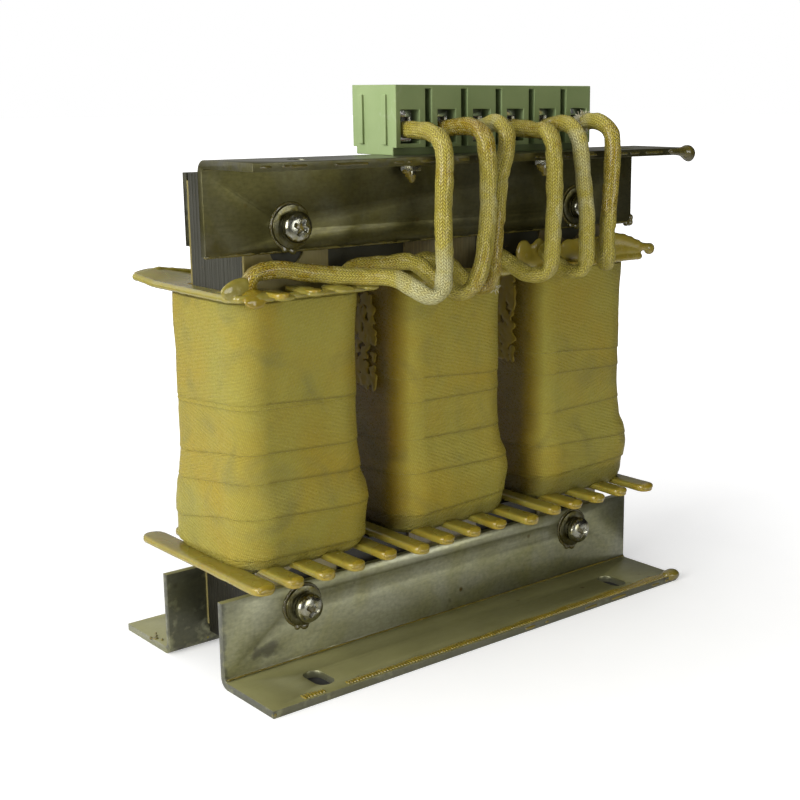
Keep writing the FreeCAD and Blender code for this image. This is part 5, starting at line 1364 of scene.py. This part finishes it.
rear_specks = [ball(-74.4, 24.1, 1.9, 0.5), ball(-72.7, 24.3, 2.1, 0.45), ball(-72.8, 20.6, 2.1, 0.4),
               (-73.6, 22.9, 2.0, 0.8, 0.9, 0.35), ball(-71.8, 26.1, 2.0, 0.35)]
run_together("foot_specks", rear_specks, 0.65, 0.2)
top_beads = edge_beads((-73.8, -37.9, 133.0), (66.0, -37.9, 133.0), 0.28, 0.55, 12, 0.45)
top_beads += [(66.6, -37.9, 133.0, 1.6, 0.9, 0.9), (68.6, -37.9, 132.9, 1.6, 1.0, 1.0),
              (70.6, -37.9, 132.9, 1.6, 1.3, 1.25), (72.6, -37.9, 132.8, 1.6, 1.7, 1.7),
              ball(74.0, -37.8, 132.5, 2.1), ball(74.4, -37.7, 131.4, 1.3)]
run_together("top_flange_beads", top_beads, 0.90)
web_beads = edge_beads((-73.8, -14.9, 110.9), (74.0, -14.9, 110.9), 0.30, 0.55, 21, 0.15)
web_beads += [ball(74.2, -14.8, 110.6, 1.1), ball(74.4, -14.9, 112.2, 0.9), ball(72.6, -14.8, 110.4, 0.9)]
web_beads += edge_beads((74.2, -14.4, 113.0), (74.2, -14.4, 126.0), 0.3, 0.6, 23, 0.35)
run_together("web_beads", web_beads, 0.80)
core_run = [(-62.5, 14.0, 3.0 + 1.1 * step, 0.35, 0.35, 0.8) for step in range(10)]
run_together("core_end_run", core_run + [ball(-62.6, 14.1, 2.4, 0.8)], -0.1, 0.25)

# Rings of film round the clamp screws' washers, with a drop in each cross recess.
WASHER_FILM = 5.6
for number, (x, z) in enumerate(((-50.0, 17.0), (50.0, 17.0), (-50.0, 117.0), (50.0, 117.0)), start=1):
    ring = []
    for step in range(44):
        turn = 2 * math.pi * step / 44
        where = Vector((math.cos(turn) * 1.5, math.sin(turn) * 1.5, (number - 1) * 3.0))
        size = 0.22 + 0.12 * noise.noise(where)
        ring.append((x + WASHER_FILM * math.cos(turn), -15.45, z + WASHER_FILM * math.sin(turn),
                     size + 0.35, size, size + 0.35))
    ring += [(x + 0.4, -15.5, z - 6.2, 1.1, 0.45, 0.9), (x - 1.9, -15.5, z - 5.9, 0.9, 0.4, 0.7)]
    run_together("washer_film_%d" % number, ring, 0.92, 0.25)
    recess = [(x, -19.3, z, 1.25, 0.55, 1.25), (x + 0.6, -19.4, z - 0.9, 0.7, 0.5, 0.7)]
    run_together("recess_fill_%d" % number, recess, 0.6 if number == 3 else 0.85, 0.2)

# Drops on the sticks' front ends.
for side, ends in stick_ends.items():
    drops = []
    for number, (x, front_end, width) in enumerate(ends):
        x, y, wide = x * 1000, front_end * 1000, width * 500
        drops += [(x + 0.2, y + 1.3, 31.5, wide * 0.66, 1.1, 0.55),
                  (x - 0.3, y + 0.5, 30.9, wide * 0.75, 0.8, 0.75)]
    run_together("stick_drops_" + side, drops, 0.32, 0.25)

# Rims, lobes and tails of varnish on the top plates.
rim_left = []
for start, end, thin, thick, seed in (((-69.9, -16.0, 100.7), (-69.9, 20.0, 100.8), 0.65, 0.95, 31),
                                      ((-69.9, 20.0, 100.9), (-71.0, 27.2, 102.0), 0.7, 1.0, 32),
                                      ((-71.0, 27.2, 102.0), (-63.5, 28.1, 103.2), 0.7, 1.1, 33),
                                      ((-63.5, 28.1, 103.2), (-50.0, 28.0, 101.2), 0.6, 0.9, 34),
                                      ((-69.9, -16.0, 100.7), (-68.2, -20.2, 100.7), 0.65, 0.95, 36),
                                      ((-68.2, -20.2, 100.7), (-64.0, -21.8, 100.6), 0.65, 0.95, 37),
                                      ((-64.0, -21.8, 100.7), (-28.2, -21.8, 100.6), 0.6, 0.9, 35)):
    rim_left += edge_beads(start, end, thin, thick, seed)
rim_left += [(-67.4, -12.5, 101.2, 2.2, 5.0, 0.7), (-69.0, -18.6, 102.6, 3.4, 0.8, 2.2),
             (-66.4, -18.4, 103.4, 3.4, 0.8, 2.4), (-63.0, -20.6, 101.2, 5.0, 1.5, 0.9),
             (-66.5, 26.3, 102.3, 3.6, 1.6, 0.7)]
run_together("plate_rim_left", rim_left, 0.02, 0.35)
run_together("lead_foot_left", [(-63.9, -18.6, 101.7, 2.7, 2.0, 1.2), (-64.3, -20.2, 101.2, 3.0, 1.6, 1.0),
                                (-64.8, -21.5, 100.7, 3.4, 1.0, 0.9), (-65.1, -22.3, 100.0, 3.0, 0.6, 0.9),
                                (-64.9, -22.4, 99.1, 2.0, 0.5, 0.7)], 0.32, 0.3)
lobes = []
for x, z, wide in ((-58.6, 101.2, 2.6), (-49.7, 101.5, 2.7), (-40.9, 101.5, 3.0), (-33.0, 101.5, 2.2)):
    lobes += [(x, -23.4, z - 0.1, wide, 2.9, 0.8), (x, -25.6, z - 0.4, wide * 0.9, 1.2, 0.70),
              (x - 0.4, -20.5, z + 0.1, wide, 3.0, 0.9)]
run_together("lobes_left", lobes, 0.0, 0.3)
rim_middle = edge_beads((-21.8, -21.8, 100.7), (21.8, -21.8, 100.7), 0.7, 1.1, 41)
rim_middle += edge_beads((-21.8, -21.6, 100.8), (-21.8, 12.0, 100.9), 0.6, 0.9, 42)
rim_middle += [(-16.0, -20.0, 102.0, 3.4, 2.6, 1.8), (-9.0, -22.2, 101.2, 3.2, 2.2, 1.4),
               (2.0, -22.0, 101.4, 3.6, 2.4, 1.6), (12.5, -21.0, 101.8, 3.6, 2.4, 1.9),
               (-3.8, -23.5, 100.0, 1.6, 1.2, 1.8)]
run_together("plate_rim_middle", rim_middle, 0.08, 0.4)
rim_right = edge_beads((28.2, -21.8, 100.7), (71.8, -21.8, 101.0), 0.7, 1.1, 51)
rim_right += [(24.2, -20.8, 105.0, 3.0, 0.8, 4.0), (29.6, -21.4, 105.2, 2.8, 0.8, 4.0),
              (26.9, -21.4, 102.4, 2.6, 0.9, 1.7), (35.0, -21.8, 103.6, 3.4, 1.0, 2.8),
              (40.6, -21.8, 104.6, 3.4, 0.9, 3.6), (45.6, -22.0, 105.0, 3.4, 0.9, 3.4),
              (50.6, -21.6, 105.0, 3.2, 0.9, 3.2), (59.0, -21.8, 103.8, 4.6, 0.9, 2.6),
              (65.0, -21.8, 103.4, 4.0, 0.8, 1.8), (69.4, -22.0, 103.0, 3.2, 0.7, 1.2)]
tail = ((54.0, 106.6, 1.8), (57.0, 107.2, 1.6), (60.0, 107.3, 1.6), (63.0, 106.9, 1.5), (66.0, 106.1, 1.4),
        (69.0, 105.1, 1.2), (72.0, 104.0, 1.1), (74.6, 103.1, 1.5), (75.6, 102.9, 1.6))
rim_right += [(x, -22.4, z, 2.2 if x < 73 else size, size * 0.7, size) for x, z, size in tail]
run_together("plate_rim_right", rim_right, 0.20, 0.35)

# Lacy crust between the coils, on the left faces of the middle and right one.
for side, wall, nearest, farthest, low_end, high_end, seed in (("middle", -19.7, -8.5, 1.0, 70.0, 96.0, 61),
                                                               ("right", 30.3, -10.0, -2.0, 72.0, 98.0, 62)):
    randomly = random.Random(seed)
    crust = []
    for index in range(300):
        y, z = randomly.uniform(nearest, farthest), randomly.uniform(low_end, high_end)
        if noise.noise(Vector((y * 0.7, z * 0.7, seed))) < -0.22:
            continue
        size = randomly.uniform(0.60, 1.05)
        crust.append((wall + 0.12, y, z, 0.24, size, size * randomly.uniform(0.7, 1.3)))
    run_together("crust_" + side, crust, 0.38, 0.28, crust_finish)

# Amber on the tips of the block's screws, under the flange.
for number, x in enumerate((-14.8, 33.2), start=1):
    drops = [(x, -19.0, 128.4, 1.5, 1.5, 0.8), (x + 0.3, -19.3, 127.4, 0.9, 0.9, 1.0),
             (x - 1.6, -19.6, 129.6, 1.3, 1.1, 0.9)]
    run_together("tip_drop_%d" % number, drops, 0.55, 0.25)
